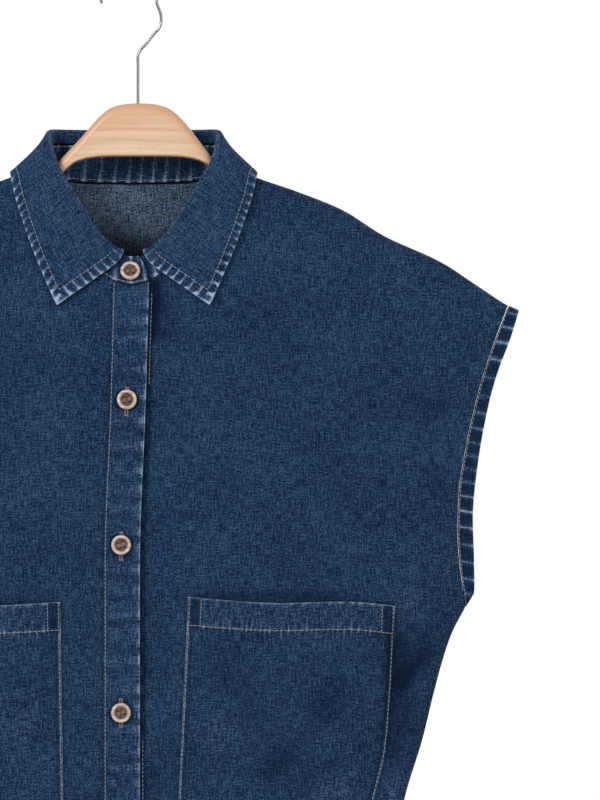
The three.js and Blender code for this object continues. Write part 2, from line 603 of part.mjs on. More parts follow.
// Hanger body: sections along the arms, rounded on top, then a bore for the hook
function hangerSections() {
  const crestTop = smoothThrough(HANGER_CREST, 'out', 'top');
  const crestBottom = smoothThrough(HANGER_CREST, 'out', 'bottom');
  const joinOut = HANGER_CREST.at(-1).out;
  const topAt = (out, side) => {
    const x = HANGER.x + side * out;
    const h = Math.abs(x - centreX(shoulderZ(Math.abs(x))));
    const neck = Math.max(0, collar.seamH(90) - HANGER.neckIn - h) * HANGER.neckSlope;
    const beneathCollar = HANGER.dip * (1 - softStep((h - collar.seamH(90)) / HANGER.dipOver));
    const under = shoulderZ(Math.max(h, collar.seamH(90))) - HANGER.cloth - beneathCollar + neck;
    const joined = softStep((out - joinOut) / (HANGER.arms - joinOut));
    return Math.min(mix(crestTop(out), under, joined), under);
  };
  const outs = [...evenSteps(0, 40, 8), 46, 52, 56, 60, 64, 68, 73, 82, ...evenSteps(96, 192, 6), 206];
  const ends = [[214, 0.9], [218.6, 0.62], [HANGER.reach, 0.3]];
  const half = HANGER.thickness / 2;
  const section = (side, out, size = 1) => {
    const top = topAt(out, side);
    const armBottom = top - HANGER.armHeight;
    const bottom = mix(crestBottom(out), armBottom, softStep((out - 40) / 26));
    const middle = (top + bottom) / 2;
    const z = (value) => mix(middle, value, size);
    const ring = [
      [-1.8, top], [-4, top - 2.6], [-half, top - 6], [-half, bottom + 1.6], [-half + 1.6, bottom],
      [half - 1.6, bottom], [half, bottom + 1.6], [half, top - 6], [4, top - 2.6], [1.8, top],
    ];
    return ring.map(([y, height]) => (
      new THREE.Vector3(HANGER.x + side * out, y * mix(0.6, 1, size), z(height))));
  };
  return [
    ...[...ends].reverse().map(([out, size]) => section(-1, out, size)),
    ...[...outs].reverse().map((out) => section(-1, out)),
    ...outs.slice(1).map((out) => section(1, out)),
    ...ends.map(([out, size]) => section(1, out, size)),
  ];
}

function loft(rings) {
  const sides = rings[0].length;
  const positions = rings.flat().flatMap((p) => [p.x, p.y, p.z]);
  const index = [];
  for (let i = 0; i < rings.length - 1; i += 1) {
    for (let j = 0; j < sides; j += 1) {
      const a = i * sides + j;
      const b = i * sides + (j + 1) % sides;
      index.push(a, b, b + sides, a, b + sides, a + sides);
    }
  }
  const last = (rings.length - 1) * sides;
  for (let j = 1; j < sides - 1; j += 1) {
    index.push(0, j + 1, j);
    index.push(last, last + j, last + j + 1);
  }
  const geometry = new THREE.BufferGeometry();
  geometry.setAttribute('position', new THREE.Float32BufferAttribute(positions, 3));
  geometry.setIndex(index);
  return facingOut(geometry);
}

const wasm = await Module();
wasm.setup();
function toSolid(geometry) {
  return new wasm.Manifold(new wasm.Mesh({
    numProp: 3,
    vertProperties: new Float32Array(geometry.attributes.position.array),
    triVerts: new Uint32Array(geometry.index.array),
  }));
}
function fromSolid(solid) {
  const mesh = solid.getMesh();
  const geometry = new THREE.BufferGeometry();
  geometry.setAttribute('position', new THREE.BufferAttribute(new Float32Array(mesh.vertProperties), 3));
  geometry.setIndex(Array.from(mesh.triVerts));
  return geometry;
}

function hangerWood() {
  const crest = HANGER_CREST[0].top;
  const drill = new THREE.CylinderGeometry(WIRE.bore, WIRE.bore, 2 * WIRE.depth, 16);
  drill.deleteAttribute('normal');
  drill.deleteAttribute('uv');
  drill.rotateX(Math.PI / 2);
  drill.translate(HOOK.stemX, 0, crest);
  return fromSolid(toSolid(loft(hangerSections())).subtract(toSolid(mergeVertices(drill, 1e-3))));
}

// Hook: a straight stem, a slant out to the side and a round loop over the rail
function hangerHook() {
  const foot = HANGER_CREST[0].top - WIRE.depth + SEAM_GAP;
  const centre = new THREE.Vector2(0, WIRE.radius - WIRE.loop);
  const round = Array.from({ length: 22 }, (_, i) => {
    const angle = radians(mix(HOOK.from, HOOK.to, i / 21));
    return [centre.x + WIRE.loop * Math.cos(angle), centre.y + WIRE.loop * Math.sin(angle)];
  });
  const path = [
    [HOOK.stemX, foot], [HOOK.stemX, foot + 20],
    [HOOK.stemX, HOOK.stemTop - 6], [HOOK.stemX, HOOK.stemTop],
    [HOOK.stemX + 1.6, HOOK.stemTop + 4], [HOOK.stemX + 5, HOOK.stemTop + 7.6],
    [HOOK.bendX - 5.2, HOOK.bendZ - 6.6], [HOOK.bendX - 1.6, HOOK.bendZ - 2.6], [HOOK.bendX, HOOK.bendZ + 2],
    [HOOK.bendX - 0.3, HOOK.bendZ + 8], ...round,
  ].map(([x, z]) => new THREE.Vector3(x, 0, z));
  const rings = path.map((point, i) => {
    const before = path[Math.max(0, i - 1)];
    const after = path[Math.min(path.length - 1, i + 1)];
    const along = after.clone().sub(before).normalize();
    const across = new THREE.Vector3(-along.z, 0, along.x);
    return Array.from({ length: WIRE.sides }, (_, k) => {
      const angle = (2 * Math.PI * k) / WIRE.sides;
      return point.clone().addScaledVector(across, WIRE.radius * Math.cos(angle))
        .add(new THREE.Vector3(0, WIRE.radius * Math.sin(angle), 0));
    });
  });
  return loft(rings);
}

// Finishes
const denim = new THREE.MeshStandardMaterial({ color: 0x23405f, roughness: 0.9 });
const wornDenim = new THREE.MeshStandardMaterial({ color: 0x35567c, roughness: 0.9 });
const horn = new THREE.MeshStandardMaterial({ color: 0xc9a27c, roughness: 0.4 });
const beech = new THREE.MeshStandardMaterial({ color: 0xe5c5a6, roughness: 0.5 });
const steel = new THREE.MeshStandardMaterial({ color: 0xc4c6c8, roughness: 0.3, metalness: 1 });

const vest = new THREE.Group();
function add(name, geometry, material) {
  const mesh = new THREE.Mesh(geometry, material);
  mesh.name = name;
  vest.add(mesh);
  return mesh;
}
add('back', backPanel(), denim);
add('front_right', frontPanel(-1), denim);
add('front_left', frontPanel(1), denim);
add('placket_over', placket(-1, PLACKET, SEAM_GAP), wornDenim);
add('placket_under', placket(1, UNDER_PLACKET, UNDER_PLACKET_GAP), denim);
add('collar_stand', collarStand(), wornDenim);
add('collar_leaf', collarLeaf(), wornDenim);
for (const row of POCKETS) add(row.name, pocket(row), denim);
add('armhole_band_right', armholeBand(-1), wornDenim);
add('armhole_band_left', armholeBand(1), wornDenim);
BUTTON_HEIGHTS.forEach((z, i) => placeButton(add(`button_${i + 1}`, buttonShape(), horn), z));
add('hanger_wood', hangerWood(), beech);
add('hanger_hook', hangerHook(), steel);

export default vest;
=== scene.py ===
# %% [markdown]
# A sleeveless denim shirt vest, buttoned up and hanging on a wooden hanger with a wire hook.
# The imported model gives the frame: every piece here lies where its solid lies. The cloth is made
# again as thin closed shells with many more points, so that folds, puckered seams and worn edges
# are real shapes. Lengths are in millimetres unless a comment says otherwise.

# %% Load the frame
import math
import bpy
import numpy as np
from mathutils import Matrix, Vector


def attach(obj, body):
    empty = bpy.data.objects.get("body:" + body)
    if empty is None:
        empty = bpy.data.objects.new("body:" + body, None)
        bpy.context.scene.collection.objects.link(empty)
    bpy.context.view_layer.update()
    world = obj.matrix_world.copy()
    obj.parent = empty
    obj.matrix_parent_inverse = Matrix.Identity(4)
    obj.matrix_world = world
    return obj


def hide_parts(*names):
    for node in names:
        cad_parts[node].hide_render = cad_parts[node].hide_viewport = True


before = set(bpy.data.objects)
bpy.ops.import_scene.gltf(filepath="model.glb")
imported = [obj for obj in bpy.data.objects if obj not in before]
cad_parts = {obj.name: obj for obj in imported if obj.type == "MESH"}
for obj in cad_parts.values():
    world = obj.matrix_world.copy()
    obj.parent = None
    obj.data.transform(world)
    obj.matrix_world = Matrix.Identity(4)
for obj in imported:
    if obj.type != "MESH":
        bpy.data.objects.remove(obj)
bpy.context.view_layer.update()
MM = 0.001

# %% [markdown]
# The camera looks straight at the front, from far away, so the shape stays free of perspective.
# Its lens follows from two lengths: how far away it stands and how much cloth the picture holds.

# %% Camera
PHOTO_SCALE = 1.4            # picture points per millimetre of cloth
PHOTO_HEIGHT = 800
VIEW_CENTRE = (122.5, -309.3)
CLOTH_FRONT_Y = -39
CAMERA_DISTANCE = 11000
SENSOR = 36

camera = bpy.data.objects.new("camera", bpy.data.cameras.new("camera"))
camera.data.sensor_width = SENSOR
camera.data.lens = SENSOR * CAMERA_DISTANCE / (PHOTO_HEIGHT / PHOTO_SCALE)
camera.location = Vector((VIEW_CENTRE[0], CLOTH_FRONT_Y - CAMERA_DISTANCE, VIEW_CENTRE[1])) * MM
camera.rotation_euler = (math.pi / 2, 0, 0)
bpy.context.collection.objects.link(camera)
bpy.context.scene.camera = camera
bpy.context.scene.view_settings.view_transform = "Standard"
print("lens", round(camera.data.lens, 1), "mm")

# %% [markdown]
# Shop pictures of clothes are lit with big soft boxes against white. A large panel up on the left
# gives the collar and the placket their soft shadows, a weaker one on the right opens them, and
# the white world fills in the rest and stands as the backdrop.

# %% Lights, backdrop and floor
LIT_POINT = Vector((0.1, 0, -0.33))
SOFT_BOXES = {
    # place and size in metres, power in watts
    "key": ((-1.5, -1.9, 0.75), 0.9, 46),
    "fill": ((1.9, -2.2, 0.1), 1.6, 22),
    "rim": ((0.6, 2.2, 1.2), 1.4, 26),
}
WORLD_LIGHT = 0.62
FLOOR_Z = -1.25              # metres

for name, (place, size, watts) in SOFT_BOXES.items():
    light = bpy.data.lights.new(name, "AREA")
    light.size = size
    light.energy = watts
    box = bpy.data.objects.new(name, light)
    box.location = place
    box.rotation_euler = (LIT_POINT - Vector(place)).to_track_quat("-Z", "Y").to_euler()
    bpy.context.collection.objects.link(box)


def add(tree, kind, settings=None, out=0, **links):
    """Adds a node, sets it up, gives its sockets links or values, and returns one output."""
    node = tree.nodes.new("ShaderNode" + kind)
    for key, value in (settings or {}).items():
        setattr(node, key, value)
    for socket, value in links.items():
        target = node.inputs[int(socket[1:]) if socket[0] == "i" else socket]
        if isinstance(value, bpy.types.NodeSocket):
            tree.links.new(value, target)
        else:
            target.default_value = value
    return node.outputs[out] if len(node.outputs) else None


world = bpy.data.worlds.new("white studio")
bpy.context.scene.world = world
world.use_nodes = True
tree = world.node_tree
tree.nodes.clear()
ray = add(tree, "LightPath", out="Is Camera Ray")
strength = add(tree, "MapRange", i0=ray, i3=WORLD_LIGHT, i4=1.0)
add(tree, "OutputWorld", i0=add(tree, "Background", i0=(1, 1, 1, 1), i1=strength))

bpy.ops.mesh.primitive_circle_add(vertices=96, radius=3.2, fill_type="NGON", location=(0.1, 0, FLOOR_Z))
floor = bpy.context.object
floor.name = "floor"
print("lights", len(SOFT_BOXES), "floor", FLOOR_Z, "m")

# %% [markdown]
# Curves are drawn through short tables of measured points. The curve is a monotone cubic: it
# passes every point and never swings past one, as a cutter's French curve does.


# %% Curves
def smooth_through(rows):
    at, value = np.array(sorted(rows), float).T
    rise = np.diff(value) / np.diff(at)
    slope = np.concatenate([rise[:1], np.zeros(len(rise) - 1), rise[-1:]])
    same = rise[:-1] * rise[1:] > 0
    total = np.where(same, rise[:-1] + rise[1:], 1)
    slope[1:-1] = np.where(same, 2 * rise[:-1] * rise[1:] / total, 0)

    def curve(x):
        x = np.clip(np.asarray(x, float), at[0], at[-1])
        i = np.clip(np.searchsorted(at, x, side="right") - 1, 0, len(at) - 2)
        span = at[i + 1] - at[i]
        return cubic(value[i], value[i + 1], span * slope[i], span * slope[i + 1], (x - at[i]) / span)
    return curve


def cubic(a, b, rise_a, rise_b, t):
    """From a to b as t goes from 0 to 1, with the given rises at both ends."""
    level = a * (1 + 2 * t) * (1 - t) ** 2 + b * t * t * (3 - 2 * t)
    return level + rise_a * t * (1 - t) ** 2 - rise_b * t * t * (1 - t)


def mix(a, b, t):
    return a + (b - a) * t


def clamp01(t):
    return np.clip(t, 0, 1)


def ease(t):
    return np.sin(clamp01(t) * math.pi / 2)


def soft_step(t):
    t = clamp01(t)
    return t * t * (3 - 2 * t)


def fade(distance, reach):
    """1 at no distance, and a third of it at each further reach."""
    return np.exp(-distance / reach)


def bell(distance, breadth):
    return np.exp(-(distance / breadth) ** 2)


def unit(vectors):
    return vectors / np.maximum(np.linalg.norm(vectors, axis=-1, keepdims=True), 1e-9)


def moved(points, normals, distance):
    return points + normals * np.asarray(distance)[..., None]


# %% [markdown]
# The garment hangs nearly flat. Each outside point is placed by h, the distance from the middle
# towards its side, and by its height z. How far it stands forward or back follows from the
# distance to the closed seams: the cloth rolls over the hanger and round the sides in 8 mm and
# then swells slowly.

# %% Outline of the garment
SEAM_GAP = 0.3
CLOSED_SEAM = 0.04
HEM_Z = -717
UNDERARM_SEAM_Z = -458
UNDERARM_EDGE_Z = -447.5
TIP_Z = -245
BAND_TIP_Z = -241.6
ROLL_RADIUS = 8
SWELL = {
    "front": {"depth": 27, "reach": 100, "sign": -1},
    "back": {"depth": 21, "reach": 45, "sign": 1},
}
# height, x of the middle
centre_x = smooth_through([(-717, -4.5), (-430, -4.5), (-300, 0), (-150, 3), (-90, 3)])
# height, half width
silhouette = smooth_through([
    (-717, 189), (-680, 190), (-640, 194), (-595, 202), (-552, 214.9), (-520, 222.7),
    (-498.6, 228.4), (-477, 235.6), (-458, 245.5), (-447.5, 252.1), (-424, 251.8), (-389, 250.2),
    (-353, 252.4), (-312, 258.2), (-288, 264.4), (-266, 272.1), (-245, 278.1)])
# height, distance of the armhole's stitched line from the middle
armhole_stitch = smooth_through([
    (-458, 245.3), (-443, 243.6), (-424, 241.1), (-401, 239.5), (-379, 239.4), (-343, 243),
    (-306, 249.9), (-273, 259.2), (-241.6, 270)])
# distance from the middle, height
shoulder_z = smooth_through([
    (0, -117), (70, -141.5), (87, -149.3), (118, -160.1), (150, -173.1), (180, -191.6),
    (221.6, -210.7), (249.3, -228.5), (270, -241.6), (278.1, -245)])

# %% [markdown]
# Folds are given one by one, each along a straight line from one place to another. The wide ones
# are in the solids too. The narrow creases are only here: soft troughs and ridges, uneven in
# length and depth, most of them low on the pockets and under the arm, where such a vest bends.
# Painted shades only darken the cloth's colour where shadow falls: over the pocket tops and
# beside the neck's end of the placket.

# %% Folds and creases
# side, h and z of both ends, half breadth, height (negative is a trough, and in the painted shades a painted
# darker place)
FOLDS = {
    "front": [
        (1, 150, -610, 70, -500, 24, -2.2), (1, 176, -610, 120, -540, 20, 2.0),
        (1, 205, -470, 196, -600, 18, -2.6), (1, 120, -705, 168, -600, 22, -2.4),
        (1, 120, -215, 75, -330, 28, -1.4), (1, 215, -300, 120, -430, 30, -1.8),
        (-1, 140, -620, 80, -505, 25, -2.2), (-1, 172, -614, 116, -548, 24, 1.7),
        (-1, 207, -475, 194, -610, 19, -2.4), (-1, 112, -705, 160, -606, 23, -2.2),
        (-1, 118, -220, 70, -345, 27, -1.5), (-1, 205, -305, 128, -440, 29, -1.9),
    ],
    "back": [
        (1, 95, -200, 60, -420, 28, -2.0), (1, 190, -330, 110, -560, 30, -2.4),
        (1, 60, -700, 84, -520, 24, 2.4), (1, 150, -700, 162, -560, 23, -2.6),
        (-1, 88, -205, 66, -400, 29, -2.2), (-1, 196, -340, 118, -545, 30, -2.2),
        (-1, 44, -700, 58, -540, 25, 2.2), (-1, 140, -700, 158, -570, 23, -2.4),
    ],
}
CREASES = {
    "front": [
        (1, 102, -590, 150, -522, 9, -1.3), (1, 126, -592, 161, -566, 7, -1.1),
        (1, 137, -600, 150, -574, 8, 1.2), (1, 156, -596, 166, -570, 6, 1.0),
        (1, 62, -560, 88, -520, 16, 0.9), (1, 128, -536, 158, -502, 10, -1.0),
        (1, 200, -575, 190, -598, 8, 1.3), (1, 207, -560, 203, -470, 9, -1.2),
        (1, 228, -455, 204, -520, 10, -0.9), (1, 214, -444, 176, -472, 9, 0.7),
        (1, 68, -470, 88, -560, 12, -0.6), (1, 92, -650, 128, -702, 12, 1.2),
        (1, 40, -640, 52, -712, 11, -0.9), (1, 156, -640, 172, -700, 10, 1.1),
        (1, 20, -232, 33, -268, 8, -1.3), (1, 196, -312, 236, -314, 6, -1.2),
        (1, 216, -352, 232, -384, 8, -1.0), (1, 198, -462, 197, -580, 7, -1.3),
        (1, 222, -484, 197, -520, 6, -1.2),
        (-1, 98, -594, 143, -528, 10, -1.2), (-1, 134, -598, 152, -570, 8, 1.1),
        (-1, 60, -552, 92, -514, 15, 0.8), (-1, 203, -570, 198, -478, 9, -1.1),
        (-1, 226, -452, 206, -512, 10, -0.9), (-1, 80, -646, 120, -698, 12, 1.1),
        (-1, 150, -645, 166, -704, 11, 1.0), (-1, 36, -652, 50, -708, 11, -0.8),
    ],
    "back": [
        (1, 40, -230, 48, -380, 15, 0.7), (1, 226, -452, 196, -540, 11, -1.2),
        (1, 206, -448, 150, -500, 12, 0.9), (1, 24, -600, 34, -708, 13, 1.3),
        (1, 104, -590, 118, -708, 14, -1.3), (1, 176, -620, 172, -706, 11, 1.2),
        (1, 130, -250, 104, -360, 16, -0.8),
        (-1, 46, -240, 56, -372, 14, 0.7), (-1, 228, -455, 200, -534, 11, -1.1),
        (-1, 202, -450, 156, -506, 13, 0.8), (-1, 18, -612, 14, -706, 12, -1.0),
        (-1, 92, -600, 104, -706, 14, 1.2), (-1, 172, -616, 178, -704, 11, -1.1),
        (-1, 136, -256, 108, -372, 16, -0.8),
    ],
}
# Painted shadows over the pocket tops and beside the neck's end of the placket.
PAINTED_SHADES = {
    "front": [
        (1, 44, -448.5, 168, -450.5, 4, -0.6), (-1, 48, -451.5, 160, -452.5, 4, -0.35),
        (1, 18, -218, 15, -270, 4.5, -1.3),
    ],
    "back": [],
}
CREASE_WEAR_AND_SHADE = 0.17
FOLD_WEAR_AND_SHADE = 0.03
MOST_FOLD_WEAR = 0.2
HOLLOW_SHADE_SHARE = 2.0
FOLD_CORE = 0.3
FOLD_TAPER = 0.158
CREASE_WANDER = 0.12


def fold_height(rows, side, h, z, wander=0.0):
    """Sums straight folds; each keeps its height over its middle and fades past both ends."""
    height = np.zeros(np.broadcast(h, z).shape)
    for of_side, h0, z0, h1, z1, breadth, depth in rows:
        if of_side != side:
            continue
        dh, dz = h1 - h0, z1 - z0
        length = math.hypot(dh, dz)
        along = ((h - h0) * dh + (z - z0) * dz) / length ** 2
        off = ((h - h0) * dz - (z - z0) * dh) / length
        off = off + wander * length * np.sin(3.1 * along + h0) * 0.5
        past = np.maximum(0, np.abs(along - 0.5) - FOLD_CORE)
        width = breadth * (1 + wander * np.sin(5 * along + h1))
        height += depth * bell(past, FOLD_TAPER) * bell(off, width)
    return height


def all_folds(face, side, h, z, fold_share=1.0, crease_share=1.0):
    """Folds of the half that a point lies on, also just past the middle."""
    def of(which):
        wide = fold_height(FOLDS[face], which, np.abs(h), z)
        narrow = fold_height(CREASES[face], which, np.abs(h), z, CREASE_WANDER)
        return fold_share * wide + crease_share * narrow
    return np.where(h < 0, of(-side), of(side))


def fold_wear_and_shade(face, side, h, z):
    """Ridges rub pale as wear; hollows and the painted shades darken the colour as painted shade."""
    worn = all_folds(face, side, h, z, FOLD_WEAR_AND_SHADE, CREASE_WEAR_AND_SHADE)
    # Hollows are painted darker, twice as strongly as ridges are paled: painted shade.
    worn = np.where(worn > 0, np.minimum(worn, MOST_FOLD_WEAR), HOLLOW_SHADE_SHARE * worn)
    return worn + fold_height(PAINTED_SHADES[face], side, h, z)


print("folds", sum(map(len, FOLDS.values())), "creases", sum(map(len, CREASES.values())))

# %% The outside of the cloth
SHOULDER_SLANT = 0.87
SIDE_SLANT = 0.96
ARMHOLE_SWELL = 4
ARMHOLE_REACH = 70
FOLDS_START = 40
UNDER_DEPTH = 3.5
UNDER_FADE = (21, 34)
PROBE = 0.5


def inset_from_seams(h, z):
    from_shoulder = (shoulder_z(h) - z) * SHOULDER_SLANT
    from_side = np.maximum(0, (silhouette(z) - h) * SIDE_SLANT)
    above_underarm = np.maximum(0, z - UNDERARM_EDGE_Z)
    return from_shoulder, np.minimum(from_shoulder, np.hypot(from_side, above_underarm))


def swell(face, side, h, z):
    """How far the outside of the cloth stands from the middle plane."""
    kind = SWELL[face]
    from_shoulder, nearest = inset_from_seams(np.abs(h), z)
    near = clamp01(nearest / ROLL_RADIUS)
    roll = ROLL_RADIUS * np.sqrt(1 - (1 - near) ** 2)
    across = clamp01(np.abs(h) / silhouette(np.minimum(z, TIP_Z)))
    body = kind["depth"] * ease(from_shoulder / kind["reach"]) * (1 - across ** 2)
    folds = all_folds(face, side, h, z) * soft_step(nearest / FOLDS_START)
    height = roll + ARMHOLE_SWELL * ease(nearest / ARMHOLE_REACH) + body + folds
    return np.where(nearest > 0, height, 0)


def under_lap(face, side, h):
    """The wearer's left front lies deeper where the right one covers it."""
    if face != "front" or side != 1:
        return 0
    return UNDER_DEPTH * (1 - soft_step((h - UNDER_FADE[0]) / UNDER_FADE[1]))


def cloth_point(face, side, h, z, on_seam=False):
    h, z = np.broadcast_arrays(np.asarray(h, float), np.asarray(z, float))
    out = np.where(on_seam, 0, swell(face, side, h, z) - under_lap(face, side, h))
    y = SWELL[face]["sign"] * (np.where(on_seam, CLOSED_SEAM, SEAM_GAP) / 2 + out)
    return np.stack([centre_x(z) + side * h, y, z], axis=-1)


def cloth_normal(face, side, h, z):
    across = cloth_point(face, side, h + PROBE, z) - cloth_point(face, side, h - PROBE, z)
    up = cloth_point(face, side, h, z + PROBE) - cloth_point(face, side, h, z - PROBE)
    normal = unit(np.cross(across, up))
    return normal * np.sign(normal[..., 1:2] * SWELL[face]["sign"] + 1e-12)


def seam_normal(name, side):
    """The way a closed seam faces."""
    x, y, z = {"shoulder": (0.45, 0, 0.89), "side": (0.96, 0, -0.28)}[name]
    return unit(np.array([side * x, y, z]))


# %% [markdown]
# A sewn edge shrinks more than the cloth beside it when a garment is washed, so it puckers. On
# denim the tops of the puckers rub pale and the hollows stay dark, which makers call roping. The
# waves are slanted and never quite alike, so the wave's own phase and size wander slowly.


# %% Puckers
def roping(along, pitch, seed, across=0.0, slant=0.6):
    """An uneven wave from -1 to 1 along a seam; across slants it."""
    s = along + slant * across
    wander = 2.1 * np.sin(s / (1.9 * pitch) + seed) + 1.4 * np.sin(s / (4.3 * pitch) + 2.1 * seed)
    size = 0.9 + 0.1 * np.sin(s / (2.7 * pitch) + 1.7 * seed) * np.sin(s / (1.3 * pitch) + seed)
    return size * np.sin(2 * math.pi * s / pitch + wander)


def rubbed(wave, sharpness=3):
    """Narrow pale tops between broad dark hollows, from a wave of -1 to 1."""
    return 1.3 * clamp01((wave + 1) / 2) ** sharpness - 0.3


# %% [markdown]
# Every sheet is a closed shell: a grid of outside points, the same grid moved in by the cloth's
# thickness, and a rim. Near a cut or folded edge both sides draw together, so the edge is round.
# Each point also keeps two more facts for the finish: where it lies along the threads of the
# cloth, and its tint: how worn it is, and where shade is painted. Below zero the colour goes
# dark, partly as roping hollows that kept their dye and partly as painted shade.

# %% Shells
pieces = {}


def edge_pinch(distance, wall):
    """How far each side of a wall draws in towards the other near a rounded edge."""
    half = wall / 2
    near = clamp01(distance / half)
    return 0.8 * half * (1 - np.sqrt(1 - (1 - near) ** 2))


def both_sides(base, normal, relief, pinch, wall):
    """The outside and inside of a wall whose outside is base with its relief."""
    return moved(base, normal, relief - pinch), moved(base, normal, relief + pinch - wall)


def shell_faces(rows, columns, wrapped):
    shift = rows * columns
    index = np.arange(shift).reshape(rows, columns)
    if wrapped:
        index = np.concatenate([index, index[:1]])
    corners = index[:-1, :-1], index[1:, :-1], index[1:, 1:], index[:-1, 1:]
    outer = np.stack([corner.ravel() for corner in corners], axis=1)

    def rim(line, flip):
        a, b = line[:-1], line[1:]
        quads = np.stack([a, a + shift, b + shift, b], axis=1)
        return quads[:, ::-1] if flip else quads
    rims = [rim(index[:, 0], False), rim(index[:, -1], True)]
    if not wrapped:
        rims += [rim(index[0], True), rim(index[-1], False)]
    return outer, np.concatenate([outer, outer[:, ::-1] + shift, *rims])


def signed_volume(points, quads):
    a, b, c, d = (points[quads[:, k]] for k in range(4))
    return np.sum(np.cross(a, b) * c + np.cross(a, c) * d) / 6


def new_mesh(name, points, faces, materials, face_material=None, threads=None, tint_and_shade=None):
    mesh = bpy.data.meshes.new(name)
    mesh.from_pydata((points * MM).tolist(), [], [list(map(int, f)) for f in faces])
    for finish in materials:
        mesh.materials.append(finish)
    if face_material is not None:
        mesh.polygons.foreach_set("material_index", face_material)
    if threads is not None:
        layer = mesh.uv_layers.new(name="threads")
        corner = np.empty(len(mesh.loops), int)
        mesh.loops.foreach_get("vertex_index", corner)
        layer.data.foreach_set("uv", (threads[corner] * MM).ravel())
    if tint_and_shade is not None:
        mesh.attributes.new("tint_and_shade", "FLOAT", "POINT").data.foreach_set("value", tint_and_shade)
    mesh.polygons.foreach_set("use_smooth", [True] * len(mesh.polygons))
    mesh.update()
    return mesh


def new_piece(name, mesh, node=None):
    """A visible piece, which takes the place of its solid if it has one."""
    made = bpy.data.objects.new(name, mesh)
    bpy.context.collection.objects.link(made)
    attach(made, "root")
    if node:
        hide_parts(node)
    pieces[name] = made
    print(f"{name}: {len(mesh.polygons)} faces")
    return made


def shell(node, sides, threads, tint_and_shade, materials, wrapped=False, inner_tint_and_shade=None):
    """A sheet's visible piece, from the grids of its outside and inside points."""
    points = np.concatenate([grid.reshape(-1, 3) for grid in sides])
    out_faces, faces = shell_faces(*tint_and_shade.shape, wrapped)
    if signed_volume(points, faces) < 0:
        faces = faces[:, ::-1]
    which = np.zeros(len(faces), int)
    which[len(out_faces):2 * len(out_faces)] = len(materials) - 1
    flat = np.concatenate([threads.reshape(-1, 2)] * 2)
    # Tints of both sides: wear above zero; kept dye and painted shade below zero.
    worn = np.concatenate([tint_and_shade.ravel(), (tint_and_shade if inner_tint_and_shade is None else inner_tint_and_shade).ravel()])
    name = node + "_cloth"
    return new_piece(name, new_mesh(name, points, faces, materials, which, flat, worn), node)


def sheet_area(outer):
    """Area of a grid of points in square metres."""
    a, b = outer[1:, 1:] - outer[:-1, :-1], outer[1:, :-1] - outer[:-1, 1:]
    return float(np.linalg.norm(np.cross(a, b), axis=-1).sum() / 2) * MM ** 2


def grid_line(grid, i, j):
    """Values of a grid at fractional places, on straight lines between its own points."""
    i, j = np.broadcast_arrays(np.asarray(i, float), np.asarray(j, float))
    i, j = np.clip(i, 0, grid.shape[0] - 1.001), np.clip(j, 0, grid.shape[1] - 1.001)
    i0, j0 = i.astype(int), j.astype(int)
    fi, fj = (i - i0)[:, None], (j - j0)[:, None]
    low = mix(grid[i0, j0], grid[i0 + 1, j0], fi)
    return mix(low, mix(grid[i0, j0 + 1], grid[i0 + 1, j0 + 1], fi), fj)


def on_grid(outer, normal, i, j):
    return grid_line(outer, i, j), unit(grid_line(normal, i, j))


def place_in(steps, at):
    """Fractional place of a value in a rising row of steps."""
    return np.interp(at, steps, np.arange(len(steps)))


# %% [markdown]
# Denim is a cotton twill with blue warp threads over white weft. Yarn of uneven thickness shows
# as slubs: short streaks that run both up and across, which give the cloth its cross-hatched
# look. The real twill lines are 0.6 mm apart, too fine for the picture, so they are drawn 1.1 mm
# apart and faint. Where the cloth is rubbed the white core of the yarn shows, and the colour goes
# pale. The tint of each point comes from the shape, and noise breaks it up into grain. Below zero
# the tint darkens the colour: in the roping's hollows, which keep their dye, and as painted shade
# in fold hollows, over the pocket tops, beside the placket and buttons and inside the back. An
# occlusion node also darkens the colour in crevices and beside steps between pieces: painted shade.

# %% Denim
SLUB_ACROSS = 1.0
SLUB_ALONG = 8
MOTTLE = 7
CLOUD = 45
GRAIN = 1.2
TWILL = 1.1
TWILL_SLANT = 63             # degrees
CREVICE_SHADE_REACH = 4
WEAVE_DEPTH = 0.35


def linear(hex_colour):
    """Turns an sRGB hex colour into Blender's linear colour."""
    channels = [int(hex_colour[k:k + 2], 16) / 255 for k in (1, 3, 5)]
    flat = [c / 12.92 if c <= 0.04045 else ((c + 0.055) / 1.055) ** 2.4 for c in channels]
    return (*flat, 1)


def material(name, shader, *details):
    """A new material with the surface that shader(tree, *details) gives."""
    made = bpy.data.materials.new(name)
    made.use_nodes = True
    made.node_tree.nodes.clear()
    add(made.node_tree, "OutputMaterial", i0=shader(made.node_tree, *details))
    return made


def blend(tree, share, low, high):
    """Mixes two colours, each a hex code or an output."""
    low, high = (linear(colour) if isinstance(colour, str) else colour for colour in (low, high))
    return add(tree, "Mix", {"data_type": "RGBA"}, 2, i0=share, i6=low, i7=high)


def three_tones(tree, value, low_at, high_at, low, middle, high):
    """Colours a value by a ramp through three tones, the middle one at a half."""
    colour = add(tree, "ValToRGB", i0=value)
    stops = colour.node.color_ramp.elements
    stops[0].position = low_at
    stops[0].color = linear(low)
    stops[1].position = high_at
    stops[1].color = linear(high)
    stops.new(0.5).color = linear(middle)
    return colour


def scaled(tree, at, *size):
    """Coordinates in which one unit is as long as size says along each axis."""
    return add(tree, "Mapping", i0=at, i3=[1 / (length * MM) for length in size])


def object_place(tree):
    return add(tree, "TexCoord", out="Object")


def bumpy(tree, height, strength, depth):
    return add(tree, "Bump", i0=strength, i1=depth * MM, i3=height)


def surface(tree, colour, normal, roughness, **more):
    """The principled shader; names of its other sockets are written with underscores."""
    more = {socket.replace("_", " "): value for socket, value in more.items()}
    return add(tree, "BsdfPrincipled", i0=colour, Normal=normal, Roughness=roughness, **more)


